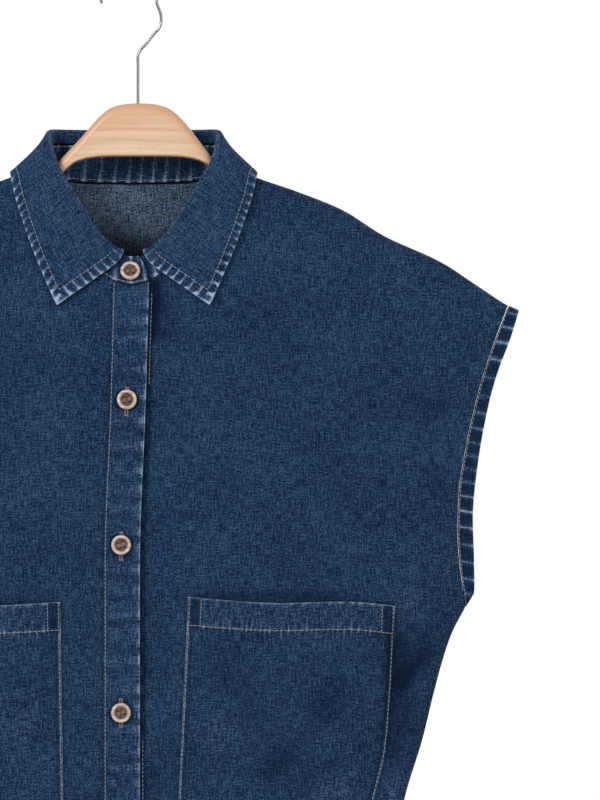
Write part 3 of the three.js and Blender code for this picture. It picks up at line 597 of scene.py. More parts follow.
def weighted(tree, *parts):
    """Adds up noise values about their middle, each with its own weight."""
    total = 0.0
    for value, weight in parts:
        centred = add(tree, "Math", {"operation": "MULTIPLY_ADD"}, i0=value, i1=weight, i2=-weight / 2)
        total = add(tree, "Math", {"operation": "ADD"}, i0=total, i1=centred)
    return total


def denim(tree, dark, body, pale, worn, contrast=1.0):
    uv = add(tree, "UVMap", {"uv_map": "threads"})

    def noise(width, height, detail, roughness=0.5):
        return add(tree, "TexNoise", {"noise_dimensions": "2D"}, i0=scaled(tree, uv, width, height, 1),
                   Scale=1.0, Detail=detail, Roughness=roughness)
    warp = noise(SLUB_ACROSS, SLUB_ALONG, 3)
    weft = noise(SLUB_ALONG, SLUB_ACROSS, 3)
    mottle = noise(MOTTLE, MOTTLE, 4, 0.6)
    cloud = noise(CLOUD, CLOUD, 1)
    grain = noise(GRAIN, GRAIN, 2, 0.7)
    turned = add(tree, "Mapping", i0=uv, i2=(0, 0, math.radians(TWILL_SLANT)))
    twill = add(tree, "TexWave", out=1, i0=turned, Scale=1 / (TWILL * MM) / 2 / math.pi)
    shade = weighted(
        tree, (warp, 1.35 * contrast), (weft, 1.15 * contrast), (mottle, 0.3 * contrast),
        (cloud, 0.3), (grain, 2.1 * contrast), (twill, 0.12))
    tone = add(tree, "Math", {"operation": "ADD"}, i0=shade, i1=0.5)
    colour = three_tones(tree, tone, 0.0, 1.0, dark, body, pale)
    tint_and_shade = add(tree, "Attribute", {"attribute_name": "tint_and_shade"}, "Fac")
    faded = add(tree, "Math", {"operation": "MAXIMUM"}, i0=tint_and_shade, i1=0.0)
    broken = weighted(tree, (grain, 1.0), (warp, 0.9), (weft, 0.8))
    amount = add(tree, "Math", {"operation": "MULTIPLY_ADD"}, i0=broken, i1=1.2, i2=faded)
    rub = add(tree, "Math", {"operation": "MULTIPLY", "use_clamp": True}, i0=amount, i1=faded)
    colour = blend(tree, rub, colour, worn)
    # Tint below zero darkens the colour: kept dye in the roping's hollows, painted shade elsewhere.
    kept_dye_and_shade = add(tree, "MapRange", i0=tint_and_shade, i1=0.0, i2=-1.0, i3=0.0, i4=0.9)
    colour = blend(tree, kept_dye_and_shade, colour, dark)
    # Painted shade: an occlusion node darkens the colour in crevices and beside steps between pieces.
    crevice_occlusion = add(tree, "AmbientOcclusion", {"samples": 6}, "AO", Distance=CREVICE_SHADE_REACH * MM)
    painted_crevice_shade = add(tree, "MapRange", i0=crevice_occlusion, i1=0.35, i2=0.95, i3=0.85, i4=0.0)
    colour = blend(tree, painted_crevice_shade, colour, dark)
    relief = weighted(tree, (warp, 1.0), (weft, 0.8), (twill, 0.5), (grain, 0.6))
    return surface(tree, colour, bumpy(tree, relief, 0.5, WEAVE_DEPTH), 0.92,
                   Specular_IOR_Level=0.06, Sheen_Weight=0.02, Sheen_Roughness=0.5)


DENIM_FACE = material("washed_denim", denim, "#041226", "#162b46", "#324a65", "#8699b0")
DENIM_TRIM = material("washed_denim_trim", denim, "#051427", "#192f4b", "#384f6c", "#8b9fb8")
DENIM_BACK = material("denim_wrong_side", denim, "#0b1018", "#45586d", "#708398", "#8496a6", 0.9)

# %% [markdown]
# The topstitching is core-spun polyester in a faded tan. Each stitch is a short bent thread that
# dives into the cloth at both ends, so a row reads as fine dashes close up and as a line from
# afar. All the stitches of a piece are joined into one mesh.

# %% Thread
STITCH = 3.1
CLOSE_STITCH = 2.4
STITCH_GAP = 0.5
THREAD_RADIUS = 0.27
STITCH_SIDES = 5
# share of the length, height over the cloth, share of the thickness
STITCH_RINGS = ((0, -0.25, 0.55), (0.16, 0.1, 1), (0.5, 0.22, 1), (0.84, 0.1, 1), (1, -0.25, 0.55))


def spun_thread(tree, body, deep):
    twist = add(tree, "TexNoise", i0=object_place(tree), Scale=1 / (0.8 * MM), Detail=2.0)
    colour = blend(tree, twist, deep, body)
    return surface(tree, colour, bumpy(tree, twist, 0.3, 0.1), 0.7, Specular_IOR_Level=0.3)


THREAD = material("faded_tan_thread", spun_thread, "#989aa6", "#74707a")
BUTTON_THREAD = material("brown_thread", spun_thread, "#8a7e80", "#5c5254")


def tube_faces(rings, sides):
    """Quads between the rings of a tube, and its two caps."""
    quads = []
    for i in range(rings - 1):
        for k in range(sides):
            a, b = i * sides + k, i * sides + (k + 1) % sides
            quads.append([a, b, b + sides, a + sides])
    return quads, [list(range(sides))[::-1], list(range((rings - 1) * sides, rings * sides))]


def thread_rings(ends_a, ends_b, normals, radius=THREAD_RADIUS):
    """A short bent thread from each a to each b: points and faces of all of them."""
    along = ends_b - ends_a
    across = unit(np.cross(along, normals))
    angles = np.arange(STITCH_SIDES) * 2 * math.pi / STITCH_SIDES
    rings = []
    for t, rise, thick in STITCH_RINGS:
        centre = ends_a + along * t + normals * rise
        ring = [centre + radius * thick * (math.cos(a) * across + math.sin(a) * normals) for a in angles]
        rings.append(np.stack(ring, axis=1))
    points = np.stack(rings, axis=1)
    quads, caps = tube_faces(len(STITCH_RINGS), STITCH_SIDES)
    block = len(STITCH_RINGS) * STITCH_SIDES
    every = [[n * block + k for k in face] for n in range(len(points)) for face in quads + caps]
    return points.reshape(-1, 3), every


def stitch_row(points, normals, spacing=STITCH):
    """Even stitches along a row of points."""
    step = np.linalg.norm(np.diff(points, axis=0), axis=1)
    run = np.concatenate([[0], np.cumsum(step)])
    at = np.linspace(0, run[-1], max(1, int(round(run[-1] / spacing))) + 1)

    def along(s, values):
        return np.stack([np.interp(s, run, values[:, k]) for k in range(3)], axis=-1)
    start, end = at[:-1] + STITCH_GAP / 2, at[1:] - STITCH_GAP / 2
    return thread_rings(along(start, points), along(end, points), unit(along(start, normals)))


def join_threads(rows):
    points, faces, shift = [], [], 0
    for row_points, row_faces in rows:
        points.append(row_points)
        faces += [[k + shift for k in face] for face in row_faces]
        shift += len(row_points)
    return np.concatenate(points), faces


def stitches(name, rows, thread=THREAD):
    points, faces = join_threads(rows)
    new_piece(name, new_mesh(name, points, faces, [thread]))


# %% [markdown]
# The collar runs round the neck. A table gives, by degrees from the centre front over the
# shoulder to the centre back, its neck seam, the top of the stand, the fold of the leaf and the
# leaf's outer edge.

# %% Neck and collar table
COLLAR_CENTRE = 3.4
COLLAR_COLUMNS = ("faces", "seam_h", "seam_z", "top_h", "top_y", "top_z",
                  "fold_h", "fold_y", "fold_z", "edge_h", "edge_z")
COLLAR = {
    0: (0, 0, -227, 0, -29, -206.2, 0, -29, -202, 52.4, -243.5),
    8: (0, 10, -225, 6.6, -29, -205.8, 7, -29.4, -201.3, 54.4, -241.5),
    25: (0, 28, -214.5, 22.6, -28, -195.6, 23.6, -27.5, -190, 63.5, -222),
    45: (5, 46, -197, 37, -24, -175.8, 36.6, -23, -169.6, 73, -199),
    62: (10, 58.5, -178, 48, -18.5, -158.5, 47.2, -17.5, -152.5, 80, -179),
    78: (20, 68, -157.5, 57, -10, -143.5, 55.6, -9, -136.5, 85.6, -161),
    90: (45, 71.5, -142.2, 60.5, 2, -130, 60, 3, -120.3, 88.5, -146.8),
    105: (95, 68.5, -146.5, 59.5, 9.8, -126, 59.4, 10.5, -115.4, 84, -157),
    125: (124, 57, -150.5, 56, 18.5, -126.4, 56, 19.5, -114.7, 68, -161),
    150: (160, 34, -153.6, 34, 26.5, -126.4, 34, 27.5, -115, 40, -164),
    180: (180, 0, -154.3, 0, 29.5, -126.4, 0, 30.5, -115, 0, -164),
}
collar = {
    column: smooth_through([(at, row[k]) for at, row in COLLAR.items()])
    for k, column in enumerate(COLLAR_COLUMNS)
}


def nearest_angle(h):
    """The place round the neck where the front seam is h from the middle."""
    low, high = 0.0, 90.0
    for _ in range(40):
        middle = (low + high) / 2
        if collar["seam_h"](middle) < h:
            low = middle
        else:
            high = middle
    return low


# %% [markdown]
# Each half panel is a net between four edges: the middle, the hem, the side with the armhole, and
# the neck with the shoulder. A Coons patch blends them, which needs no flattening and puts the
# rows close together where the cloth rolls over.

# %% Panel net
NECK_SHARE = 0.36
SIDE_SHARE = 0.5
BODY_EDGE = SEAM_GAP / 2
PANEL_EDGE = 12.4


def panel_net(face, middle_h, u, v):
    """Places (h, z) of the net points at the shares u across and v up."""
    start = -nearest_angle(-middle_h) if face == "front" else 180.0
    at = mix(start, 90, clamp01(u / NECK_SHARE))
    toward = np.where(at < 0, -1, 1)
    neck_h, neck_z = toward * collar["seam_h"](np.abs(at)), collar["seam_z"](np.abs(at))
    tip_h = armhole_stitch(BAND_TIP_Z) - BODY_EDGE
    shoulder_h = mix(collar["seam_h"](90), tip_h, clamp01((u - NECK_SHARE) / (1 - NECK_SHARE)))
    on_neck = u < NECK_SHARE
    top_h = np.where(on_neck, neck_h, shoulder_h)
    top_z = np.where(on_neck, neck_z, shoulder_z(shoulder_h))
    side_z = mix(HEM_Z, UNDERARM_SEAM_Z, clamp01(v / SIDE_SHARE))
    arm_z = mix(UNDERARM_SEAM_Z, shoulder_z(tip_h), clamp01((v - SIDE_SHARE) / (1 - SIDE_SHARE)))
    below = v <= SIDE_SHARE
    outer_h = np.where(below, silhouette(side_z), armhole_stitch(arm_z) - BODY_EDGE)
    outer_h = outer_h - np.where(v == SIDE_SHARE, BODY_EDGE, 0)
    outer_z = np.where(below, side_z, arm_z)
    hem_h = mix(middle_h, silhouette(HEM_Z), u)
    corner_h = mix(hem_h, mix(top_h[0], top_h[-1], u), v)
    corner_z = mix(HEM_Z, mix(top_z[0], top_z[-1], u), v)
    h = mix(hem_h, top_h, v) + mix(middle_h, outer_h, u) - corner_h
    z = mix(HEM_Z, top_z, v) + mix(mix(HEM_Z, top_z[0], v), outer_z, u) - corner_z
    return h, z


def toward_edge(start, count):
    """Steps from start to 1 that close up towards 1."""
    t = np.linspace(0, 1, count + 1)[1:]
    return 1 - (1 - start) * (1 - t) ** 2


def panel_columns(neck_steps):
    neck = np.linspace(0, NECK_SHARE, neck_steps + 1)
    shoulder = np.linspace(NECK_SHARE, 0.95, 68)[1:]
    return np.concatenate([neck, shoulder, toward_edge(0.95, 12)])


def panel_rows():
    hem = [0, 0.0008, 0.0022, 0.012, 0.024, 0.028, 0.0295]
    lower = np.linspace(0.0335, SIDE_SHARE, 92)
    upper = np.linspace(SIDE_SHARE, 0.97, 82)[1:]
    return np.concatenate([hem, lower, upper, toward_edge(0.97, 12)])


# %% [markdown]
# The panels are the big sheets. Their threads run straight up, so h and z serve as the places
# along the weave. Beside the armhole and the hem they pucker with the sewn edge. The inside of
# the back is painted darker downwards from the neck: painted shade.

# %% Fronts and back
DENIM_WALL = 1.5
HEM_WALL = 2.8
HEM_HEIGHT = 15
HEM_START = 21
ARMHOLE_PITCH = 10.6
HEM_PITCH = 11
INSIDE_PAINTED_SHADE = (-174, 38)


def panel_grid(face, side, middle_h, columns):
    """Both sides of a half panel, with the threads and the wear of each point."""
    u, v = columns[:, None], panel_rows()[None, :]
    h, z = panel_net(face, middle_h, u, v)
    on_shoulder = (v == 1) & (u >= NECK_SHARE)
    on_side = (u == 1) & (v <= SIDE_SHARE)
    on_seam = on_shoulder | on_side
    base = cloth_point(face, side, h, z, on_seam)
    normal = cloth_normal(face, side, h, z)
    normal[on_shoulder] = seam_normal("shoulder", side)
    normal[on_side] = seam_normal("side", side)
    from_armhole = np.where(z > UNDERARM_SEAM_Z, armhole_stitch(z) - h, 99)
    from_hem = z - HEM_Z
    seed = 3.0 * side + (5 if face == "back" else 0)
    past_fold = np.abs(h) > HEM_START
    near_arm = fade(np.maximum(0, from_armhole), 5) * (from_armhole < 90)
    near_hem = fade(np.abs(from_hem - HEM_HEIGHT + 3), 6) * past_fold
    arm_wave = roping(z, ARMHOLE_PITCH, seed, from_armhole, 0.5) * near_arm
    hem_wave = roping(side * h, HEM_PITCH, seed + 1, from_hem, 0.6) * near_hem
    quiet = soft_step(inset_from_seams(np.abs(h), z)[1] / 12) * (~on_seam)
    relief = (0.3 * arm_wave + 0.4 * hem_wave) * quiet
    tint_and_shade = 0.16 * arm_wave + 0.9 * rubbed(hem_wave) * near_hem + 0.5 * fade(from_hem, 0.8)
    # Fold hollows and the painted shades add painted shade here.
    tint_and_shade = tint_and_shade + fold_wear_and_shade(face, side, h, z)
    wall = np.where((z < HEM_Z + HEM_HEIGHT) & past_fold, HEM_WALL, DENIM_WALL)
    outer, inner = both_sides(base, normal, relief, edge_pinch(from_hem, wall), wall)
    return outer, inner, np.stack([side * h, z], axis=-1), tint_and_shade


def front_panel(side):
    outer, inner, threads, tint_and_shade = panel_grid("front", side, -PANEL_EDGE, panel_columns(40))
    node = "front_left" if side > 0 else "front_right"
    threads = threads + side * 500
    made = shell(node, (outer, inner), threads, tint_and_shade, [DENIM_FACE, DENIM_BACK])
    return made, sheet_area(outer)


def back_panel():
    columns = panel_columns(28)
    halves = [panel_grid("back", side, 0, columns) for side in (-1, 1)]
    outer, inner, threads, tint_and_shade = (
        np.concatenate([left[::-1], right[1:]]) for left, right in zip(*halves))
    # Painted shade: the inside of the back is painted darker downwards from the neck.
    start, reach = INSIDE_PAINTED_SHADE
    inside = -soft_step((start - threads[..., 1]) / reach)
    made = shell("back", (outer, inner), threads, tint_and_shade, [DENIM_FACE, DENIM_BACK],
                 inner_tint_and_shade=inside)
    return made, sheet_area(outer)


front_left, front_left_area = front_panel(1)
front_right, front_right_area = front_panel(-1)
back, back_area = back_panel()
print("panel areas", round(front_left_area, 4), round(front_right_area, 4), round(back_area, 4))

# %% [markdown]
# Plackets and pockets are laid on the fronts: each of their points is a front point moved out
# along its normal. Their edges are turned under, so they are rounded and touch the cloth below.
# The under placket's stitches are made only where they come out from under the other one.

# %% Plackets
TRIM = 1.2
ON_CLOTH = 0.35
PLACKET = (-13.4, 12.6)
UNDER_PLACKET = (-12.4, 15.6)
UNDER_LIFT = 0.1
PLACKET_DROP = 1.2
PLACKET_STITCH_IN = 1.3
UNDER_STITCH_IN = 1.0
PLACKET_PITCH = 15.5
BUTTON_HEIGHTS = (-217.9, -308.9, -412.8, -532.7, -652.7)
BUTTON_H = 0.9
BUTTON_SHADE = 9.2
UNDER_SHADE = 1.5
UNDER_STITCHES = ((-717, -552), (-300, -232))
EDGE_STEPS = (0, 0.15, 0.5, 1.1)


def laid_on(node, denim_kind, side, h, z, wall, from_edge, relief, tint_and_shade, lift):
    """A shell on a front panel. from_edge is the distance to the nearest sewn edge."""
    base = cloth_point("front", side, h, z)
    normal = cloth_normal("front", side, h, z)
    foot = ON_CLOTH + lift + 0 * h
    outer = moved(base, normal, foot + wall - 0.6 * edge_pinch(from_edge, 2 * wall) + relief)
    threads = np.stack([side * h + 170, z + 90], axis=-1)
    made = shell(node, (outer, moved(base, normal, foot)), threads, tint_and_shade, [denim_kind])
    return made, outer, normal


def edged(low, high, spacing):
    """Steps from low to high with fine ones at both ends for the rounded edges."""
    steps = np.array(EDGE_STEPS)
    inside = np.linspace(low + 2, high - 2, max(2, int((high - low - 4) / spacing)))
    return np.concatenate([low + steps, inside, high - steps[::-1]])


def placket(node, side, limits, lift):
    across = edged(*limits, 1.9)
    top = np.array([collar["seam_z"](nearest_angle(abs(h))) - PLACKET_DROP for h in across])
    z = mix(HEM_Z, top[:, None], np.linspace(0, 1, 300)[None, :])
    x = across[:, None] + 0 * z
    to_fold, to_seam = limits[1] - x, x - limits[0]
    from_edge = np.minimum(to_fold, to_seam)
    wave = roping(z, PLACKET_PITCH, 2.0 + side, x, 0.12)
    second = roping(z, 0.62 * PLACKET_PITCH, 6.0 + side, x, -0.1)
    relief = (0.14 + 0.2 * fade(from_edge, 3.5)) * wave * clamp01(from_edge / 1.5) + 0.06 * second
    tint_and_shade = 0.2 * fade(to_fold, 4) + 0.85 * fade(to_fold, 0.8) - 0.1 * fade(to_seam, 7)
    tint_and_shade = tint_and_shade + 0.3 * np.minimum(wave, 0.35) + 0.2 * np.minimum(second, 0.35)
    if side > 0:
        # Painted shadow of the over placket on the under placket's visible strip.
        tint_and_shade = tint_and_shade - UNDER_SHADE * fade(to_fold, 3)
    else:
        # Painted shadow round each lower button on the placket.
        for button_z in BUTTON_HEIGHTS[1:]:
            from_button = np.hypot(x + BUTTON_H, z - button_z)
            tint_and_shade = tint_and_shade - 0.9 * soft_step((BUTTON_SHADE - from_button) / 2)
    return across, *laid_on(
        node, DENIM_TRIM, side, side * x, z, TRIM, from_edge, relief, tint_and_shade, lift)


over_x, placket_over, over_outer, over_normal = placket("placket_over", -1, PLACKET, 0)
under_x, placket_under, under_outer, under_normal = placket(
    "placket_under", 1, UNDER_PLACKET, UNDER_LIFT)


def placket_stitches():
    up = np.arange(over_outer.shape[1])
    yield stitch_row(*on_grid(
        over_outer, over_normal, place_in(over_x, PLACKET[0] + PLACKET_STITCH_IN), up))
    points, normals = on_grid(
        under_outer, under_normal, place_in(under_x, UNDER_PLACKET[1] - UNDER_STITCH_IN), up)
    for low, high in UNDER_STITCHES:
        seen = (points[:, 2] > low) & (points[:, 2] < high)
        yield stitch_row(points[seen], normals[seen])


stitches("placket_stitches", placket_stitches())

# %% [markdown]
# A patch pocket is one cut piece with a broad hem along its top. The hem is double, so it stands
# a little higher, and it is stitched 21 mm down. Short close stitches, bartacks, hold the corners.

# %% Pockets
POCKET_BOTTOM_Z = -627
POCKET_BAND = 21
BAND_STITCH_UP = 0.9
POCKET_TOP_SAG = 1.7
BAND_WALL_MORE = 1.0
POCKETS = {
    # side, inner edge at the top and bottom, top height at the inner and outer corner
    "pocket_left": (1, 47.2, 38.7, -450, -456.6),
    "pocket_right": (-1, 44.1, 41.5, -453.6, -456.6),
}
# height, distance of the outer edge from the middle
pocket_outer = smooth_through([
    (-627, 173), (-595, 179.5), (-561, 187.9), (-535, 190.6), (-506, 192.4), (-456, 194.7)])
POCKET_PITCH = 8.5
TICK_PITCH = 4.0
POCKET_HOLLOW = 3.4
BARTACK_IN = 9
POCKET_STITCH_IN = 1.4


def pocket(node):
    side, inner_top, inner_bottom, top_inner, top_outer = POCKETS[node]
    tall = top_inner - POCKET_BOTTOM_Z
    wide = pocket_outer(-530) - inner_top
    across = edged(0, wide, 1.6)
    fine = tall - POCKET_BAND + np.array([-0.9, -0.5, -0.1, 0.3])
    up = np.unique(np.concatenate([edged(0, tall, 1.6), fine]))
    u, v = across[:, None] / wide, up[None, :] / tall
    top = mix(top_inner, top_outer, u) - POCKET_TOP_SAG * np.sin(2 * math.pi * u ** 1.3)
    z = mix(POCKET_BOTTOM_Z, top, v)
    h = mix(mix(inner_bottom, inner_top, v), pocket_outer(z), u)
    from_side = np.minimum(u, 1 - u) * wide
    from_top = (1 - v) * tall + 0 * u
    over_line = POCKET_BAND - from_top
    sewn = np.minimum(from_side, v * tall)
    from_edge = np.minimum(sewn, from_top)
    in_band = soft_step(over_line / 0.5 + 0.5)
    belly = 0.9 * soft_step(sewn / 14) * (1 - in_band) + 0.5 * in_band
    seed = 1.3 + side
    top_wave = roping(side * h, POCKET_PITCH, seed, from_top, 0.5)
    side_wave = roping(z, POCKET_PITCH, seed + 2, from_side, 0.5)
    ticks = roping(side * h, TICK_PITCH, seed + 4, from_top, 0.1)
    bars = roping(z, TICK_PITCH, seed + 1, from_side, 0.2)
    near_top = in_band * (0.35 + 0.65 * fade(np.minimum(from_top, np.abs(over_line)), 4))
    near_side = fade(sewn, 4) * clamp01(from_edge / 1.2)
    relief = 0.28 * top_wave * near_top + 0.22 * side_wave * near_side - 0.35 * bell(over_line + 0.8, 1.6)
    tint_and_shade = 0.14 * top_wave * near_top + 0.4 * rubbed(side_wave) * near_side
    tint_and_shade = tint_and_shade + (0.75 * rubbed(ticks, 2) - 0.05) * fade(np.abs(over_line), 4)
    tint_and_shade = tint_and_shade + 0.8 * fade(from_top, 0.9) + 0.7 * fade(sewn, 1.1) + 0.1 * in_band
    tint_and_shade = tint_and_shade + 0.3 * bell(over_line - 0.6, 0.8)
    tint_and_shade = tint_and_shade - 0.6 * bell(sewn - POCKET_HOLLOW, 1.1) * (1 - in_band)
    tacked = soft_step((BARTACK_IN - from_side) / 1.5) * soft_step(from_edge / 1.5)
    tint_and_shade = tint_and_shade - (0.8 - 0.2 * bars) * in_band * tacked
    tint_and_shade = tint_and_shade + fold_wear_and_shade("front", side, h, z) * (1 - 0.5 * in_band)
    wall = TRIM + BAND_WALL_MORE * in_band
    made, outer, normal = laid_on(
        node, DENIM_FACE, side, h, z, wall, from_edge, relief, tint_and_shade, belly * 0.4)
    return made, pocket_rows(outer, normal, across, up)


def pocket_rows(outer, normal, across, up):
    """Rows of stitches round a pocket, under its band and beside its corners."""
    wide, tall = across[-1], up[-1]
    band = tall - POCKET_BAND + BAND_STITCH_UP
    top = tall - 0.6

    def row(x, y, spacing=STITCH):
        return stitch_row(*on_grid(outer, normal, place_in(across, x), place_in(up, y)), spacing)
    down = np.linspace(top, POCKET_STITCH_IN, 90)
    over = np.linspace(POCKET_STITCH_IN, wide - POCKET_STITCH_IN, 90)
    rows = [row(x, down) for x in (POCKET_STITCH_IN, wide - POCKET_STITCH_IN)]
    rows += [row(over, y) for y in (POCKET_STITCH_IN, band)]
    bar = np.linspace(top, band, 20)
    return rows + [row(x, bar, CLOSE_STITCH) for x in (BARTACK_IN, wide - BARTACK_IN)]


pockets = {node: pocket(node) for node in POCKETS}
stitches("pocket_stitches", [row for _, rows in pockets.values() for row in rows])

# %% [markdown]
# The armhole is hemmed with a narrow turned band. It goes up the front, over the shoulder tip and
# down the back as one ring, and the row of stitches holds its inner edge. Here the roping shows
# best: slanted dark hollows about a centimetre apart, with rubbed tops between them.

# %% Armhole bands
BAND_GAP = 0.55
BAND_WALL = 2.6
BAND_STITCH_COLUMN = 1.2


def armhole_band(side):
    t = np.concatenate([[0, 0.003, 0.009], np.linspace(0.018, 0.985, 260), [0.992, 0.997]])
    q = np.array([[0, 0.03, 0.1, 0.2, 0.32, 0.46, 0.6, 0.74, 0.86, 0.94, 0.98, 1]])
    strips = []
    for face, at in (("front", np.append(t, 1)), ("back", t[:0:-1])):
        stitch_z = mix(UNDERARM_SEAM_Z + BODY_EDGE, BAND_TIP_Z, at)[:, None]
        edge_z = mix(UNDERARM_EDGE_Z, TIP_Z, at)[:, None]
        h = mix(armhole_stitch(stitch_z) + BAND_GAP, silhouette(edge_z), q)
        z = mix(stitch_z, edge_z, q)
        width = np.hypot(silhouette(edge_z) - armhole_stitch(stitch_z), edge_z - stitch_z)
        wave = roping(z, ARMHOLE_PITCH, 4.0 + side + (3 if face == "back" else 0), q * 11, 0.16)
        end = soft_step(np.minimum(at, 1 - at) / 0.05)[:, None]
        relief = (0.42 * wave * np.sin(math.pi * q) ** 0.7 - 0.3 * bell(q - 0.1, 0.08)) * end
        tint_and_shade = 1.25 * rubbed(wave, 5) - 0.4 + 0.9 * fade((1 - q) * width, 0.8)
        base = cloth_point(face, side, h, z)
        normal = cloth_normal(face, side, h, z)
        if face == "front":
            for row, seam in ((0, "side"), (-1, "shoulder")):
                normal[row] = seam_normal(seam, side)
                base[row, :, 1] = 0
        pinch = edge_pinch(np.minimum(q, 1 - q) * width, BAND_WALL)
        outer, inner = both_sides(base, normal, relief, pinch, BAND_WALL)
        strips.append((outer, inner, np.stack([side * h + 40, z], axis=-1), tint_and_shade, normal))
    outer, inner, threads, tint_and_shade, normal = (np.concatenate(part) for part in zip(*strips))
    node = "armhole_band_left" if side > 0 else "armhole_band_right"
    made = shell(node, (outer, inner), threads, tint_and_shade, [DENIM_TRIM], wrapped=True)
    row = stitch_row(*on_grid(outer, normal, np.arange(len(outer)), BAND_STITCH_COLUMN))
    return made, row, sheet_area(outer)


band_left, band_left_row, band_left_area = armhole_band(1)
band_right, band_right_row, band_right_area = armhole_band(-1)
stitches("armhole_stitches", [band_left_row, band_right_row])

# %% [markdown]
# The stand is the upright strip that the collar sits on. It starts under the right end, goes all
# round the neck and ends in a rounded tab with the top button.

# %% Collar stand
STAND_WALL = 2.4
STAND_RISE = 1
UNDER_END = -11
OVER_END = 12
STAND_END_ROUND = 9
STAND_END_DROP = 0.75
UNDER_END_DEPTH = 2.8
UNDER_END_FADE = (20, 30)
COLLAR_SEAM_STEP = 0.4
STAND_PITCH = 10


def neck_turn(turn):
    """The side, the panel and the place round the neck: 0 to 180 lies on the viewer's right."""
    panel = 1 if turn <= 180 else -1
    signed = turn if turn <= 180 else 360 - turn
    return (-panel if signed < 0 else panel), panel, abs(signed)


def facing(turn):
    side, _, at = neck_turn(turn)
    angle = math.radians(collar["faces"](at))
    return np.array([side * math.sin(angle), -math.cos(angle), 0])


def collar_place(kind, turn):
    side, _, at = neck_turn(turn)
    h, y, z = (float(collar[kind + axis](at)) for axis in ("_h", "_y", "_z"))
    return np.array([COLLAR_CENTRE + side * h, y, z])


def stand_section(turn, q):
    side, panel, at = neck_turn(turn)
    face = "front" if at < 90 else "back"
    seam_h = float(collar["seam_h"](at))
    lower = cloth_point(face, panel, side * panel * seam_h, float(collar["seam_z"](at)), at == 90)
    lower[1] += SWELL[face]["sign"] * COLLAR_SEAM_STEP * abs(math.cos(math.radians(at)))
    upper = collar_place("top", turn)
    if panel == 1:
        upper[1] += UNDER_END_DEPTH * (1 - soft_step((turn - UNDER_END_FADE[0]) / UNDER_END_FADE[1]))
    lower = lower + unit(upper - lower) * STAND_RISE
    near_over = clamp01(1 - (OVER_END - side * seam_h) / STAND_END_ROUND) if turn > 330 else 0
    height = 1 - STAND_END_DROP * (1 - math.sqrt(max(0, 1 - near_over ** 2)))
    return lower + (upper - lower) * (q * height)[:, None]


def grid_normals(grid, toward, first=0):
    """Normals of a grid; from column first on, each row faces the way that toward names."""
    normal = unit(np.cross(np.gradient(grid, axis=0), np.gradient(grid, axis=1)))
    sign = np.sign(np.sum(normal[:, first:].mean(axis=1) * toward, axis=-1))
    return normal * sign[:, None, None]


def run_along(grid, axis):
    """Length along a grid line up to each point."""
    step = np.linalg.norm(np.diff(grid, axis=axis), axis=-1)
    start = np.zeros_like(np.take(step, [0], axis=axis))
    return np.concatenate([start, np.cumsum(step, axis=axis)], axis=axis)


def collar_stand():
    first, last = -nearest_angle(-UNDER_END), 360 + nearest_angle(OVER_END)
    tab = last - 4 * (1 - np.linspace(0, 1, 16)[1:]) ** 2
    turns = np.concatenate([np.linspace(first, last - 4, 300), tab])
    q = np.concatenate([[0, 0.02, 0.06], np.linspace(0.1, 0.9, 13), [0.95, 0.985, 1]])
    grid = np.stack([stand_section(turn, q) for turn in turns])
    normal = grid_normals(grid, np.stack([facing(turn) for turn in turns]))
    run, rise = run_along(grid, 0), run_along(grid, 1)
    from_seam = np.minimum(rise, rise[:, -1:] - rise)
    from_edge = np.minimum(from_seam, np.minimum(run, run[-1:] - run))
    middle_run = run[:, run.shape[1] // 2, None] + 0 * rise
    wave = roping(middle_run, STAND_PITCH, 2.5, rise, 0.1)
    near = 0.5 + 0.5 * fade(from_seam, 5)
    relief = 0.26 * wave * near * clamp01(from_edge / 1.5)
    tint_and_shade = 1.1 * rubbed(wave, 4) * near - 0.05 + 0.8 * fade(from_edge, 1.2)
    outer, inner = both_sides(grid, normal, relief, edge_pinch(from_edge, STAND_WALL), STAND_WALL)
    threads = np.stack([middle_run + 700, rise], axis=-1)
    made = shell("collar_stand", (outer, inner), threads, tint_and_shade, [DENIM_TRIM])
    round_neck = np.arange(3, len(turns) - 3)
    on_tab = np.arange(len(turns) - 34, len(turns) - 2)
    rows = [stitch_row(*on_grid(inner, -normal, round_neck, column)) for column in (2.0, len(q) - 3.0)]
    rows.append(stitch_row(*on_grid(outer, normal, on_tab, 1.8)))
    stitches("stand_stitches", rows)
    return made, sheet_area(outer)


stand, stand_area = collar_stand()

# %% [markdown]
# The leaf is the part that folds over. Each of its sections rises from the stand, turns over in a
# tight bend and falls to the outer edge, where it rests just proud of the shirt. The front edges
# and points are rubbed almost white between the stitches and the edge.

# %% Collar leaf
LEAF_WALL = 2.0
LEAF_START = 8
LEAF_CLEARANCE = 3
LEAF_BEND = (1.5, 2)
LEAF_RISE = 1.1
LEAF_END_DROP = 4.5
LEAF_END_FADE = 4.5
LEAF_PITCH = 6.8
OUTER_STITCH = 6
FRONT_STITCH = 8
SETTLED = 0.5
RISE_STEPS = 8
BEND_STEPS = 9
FOLD_COLUMN = 11
FALL_COLUMN = 16
UP = np.array([0, 0, 1])


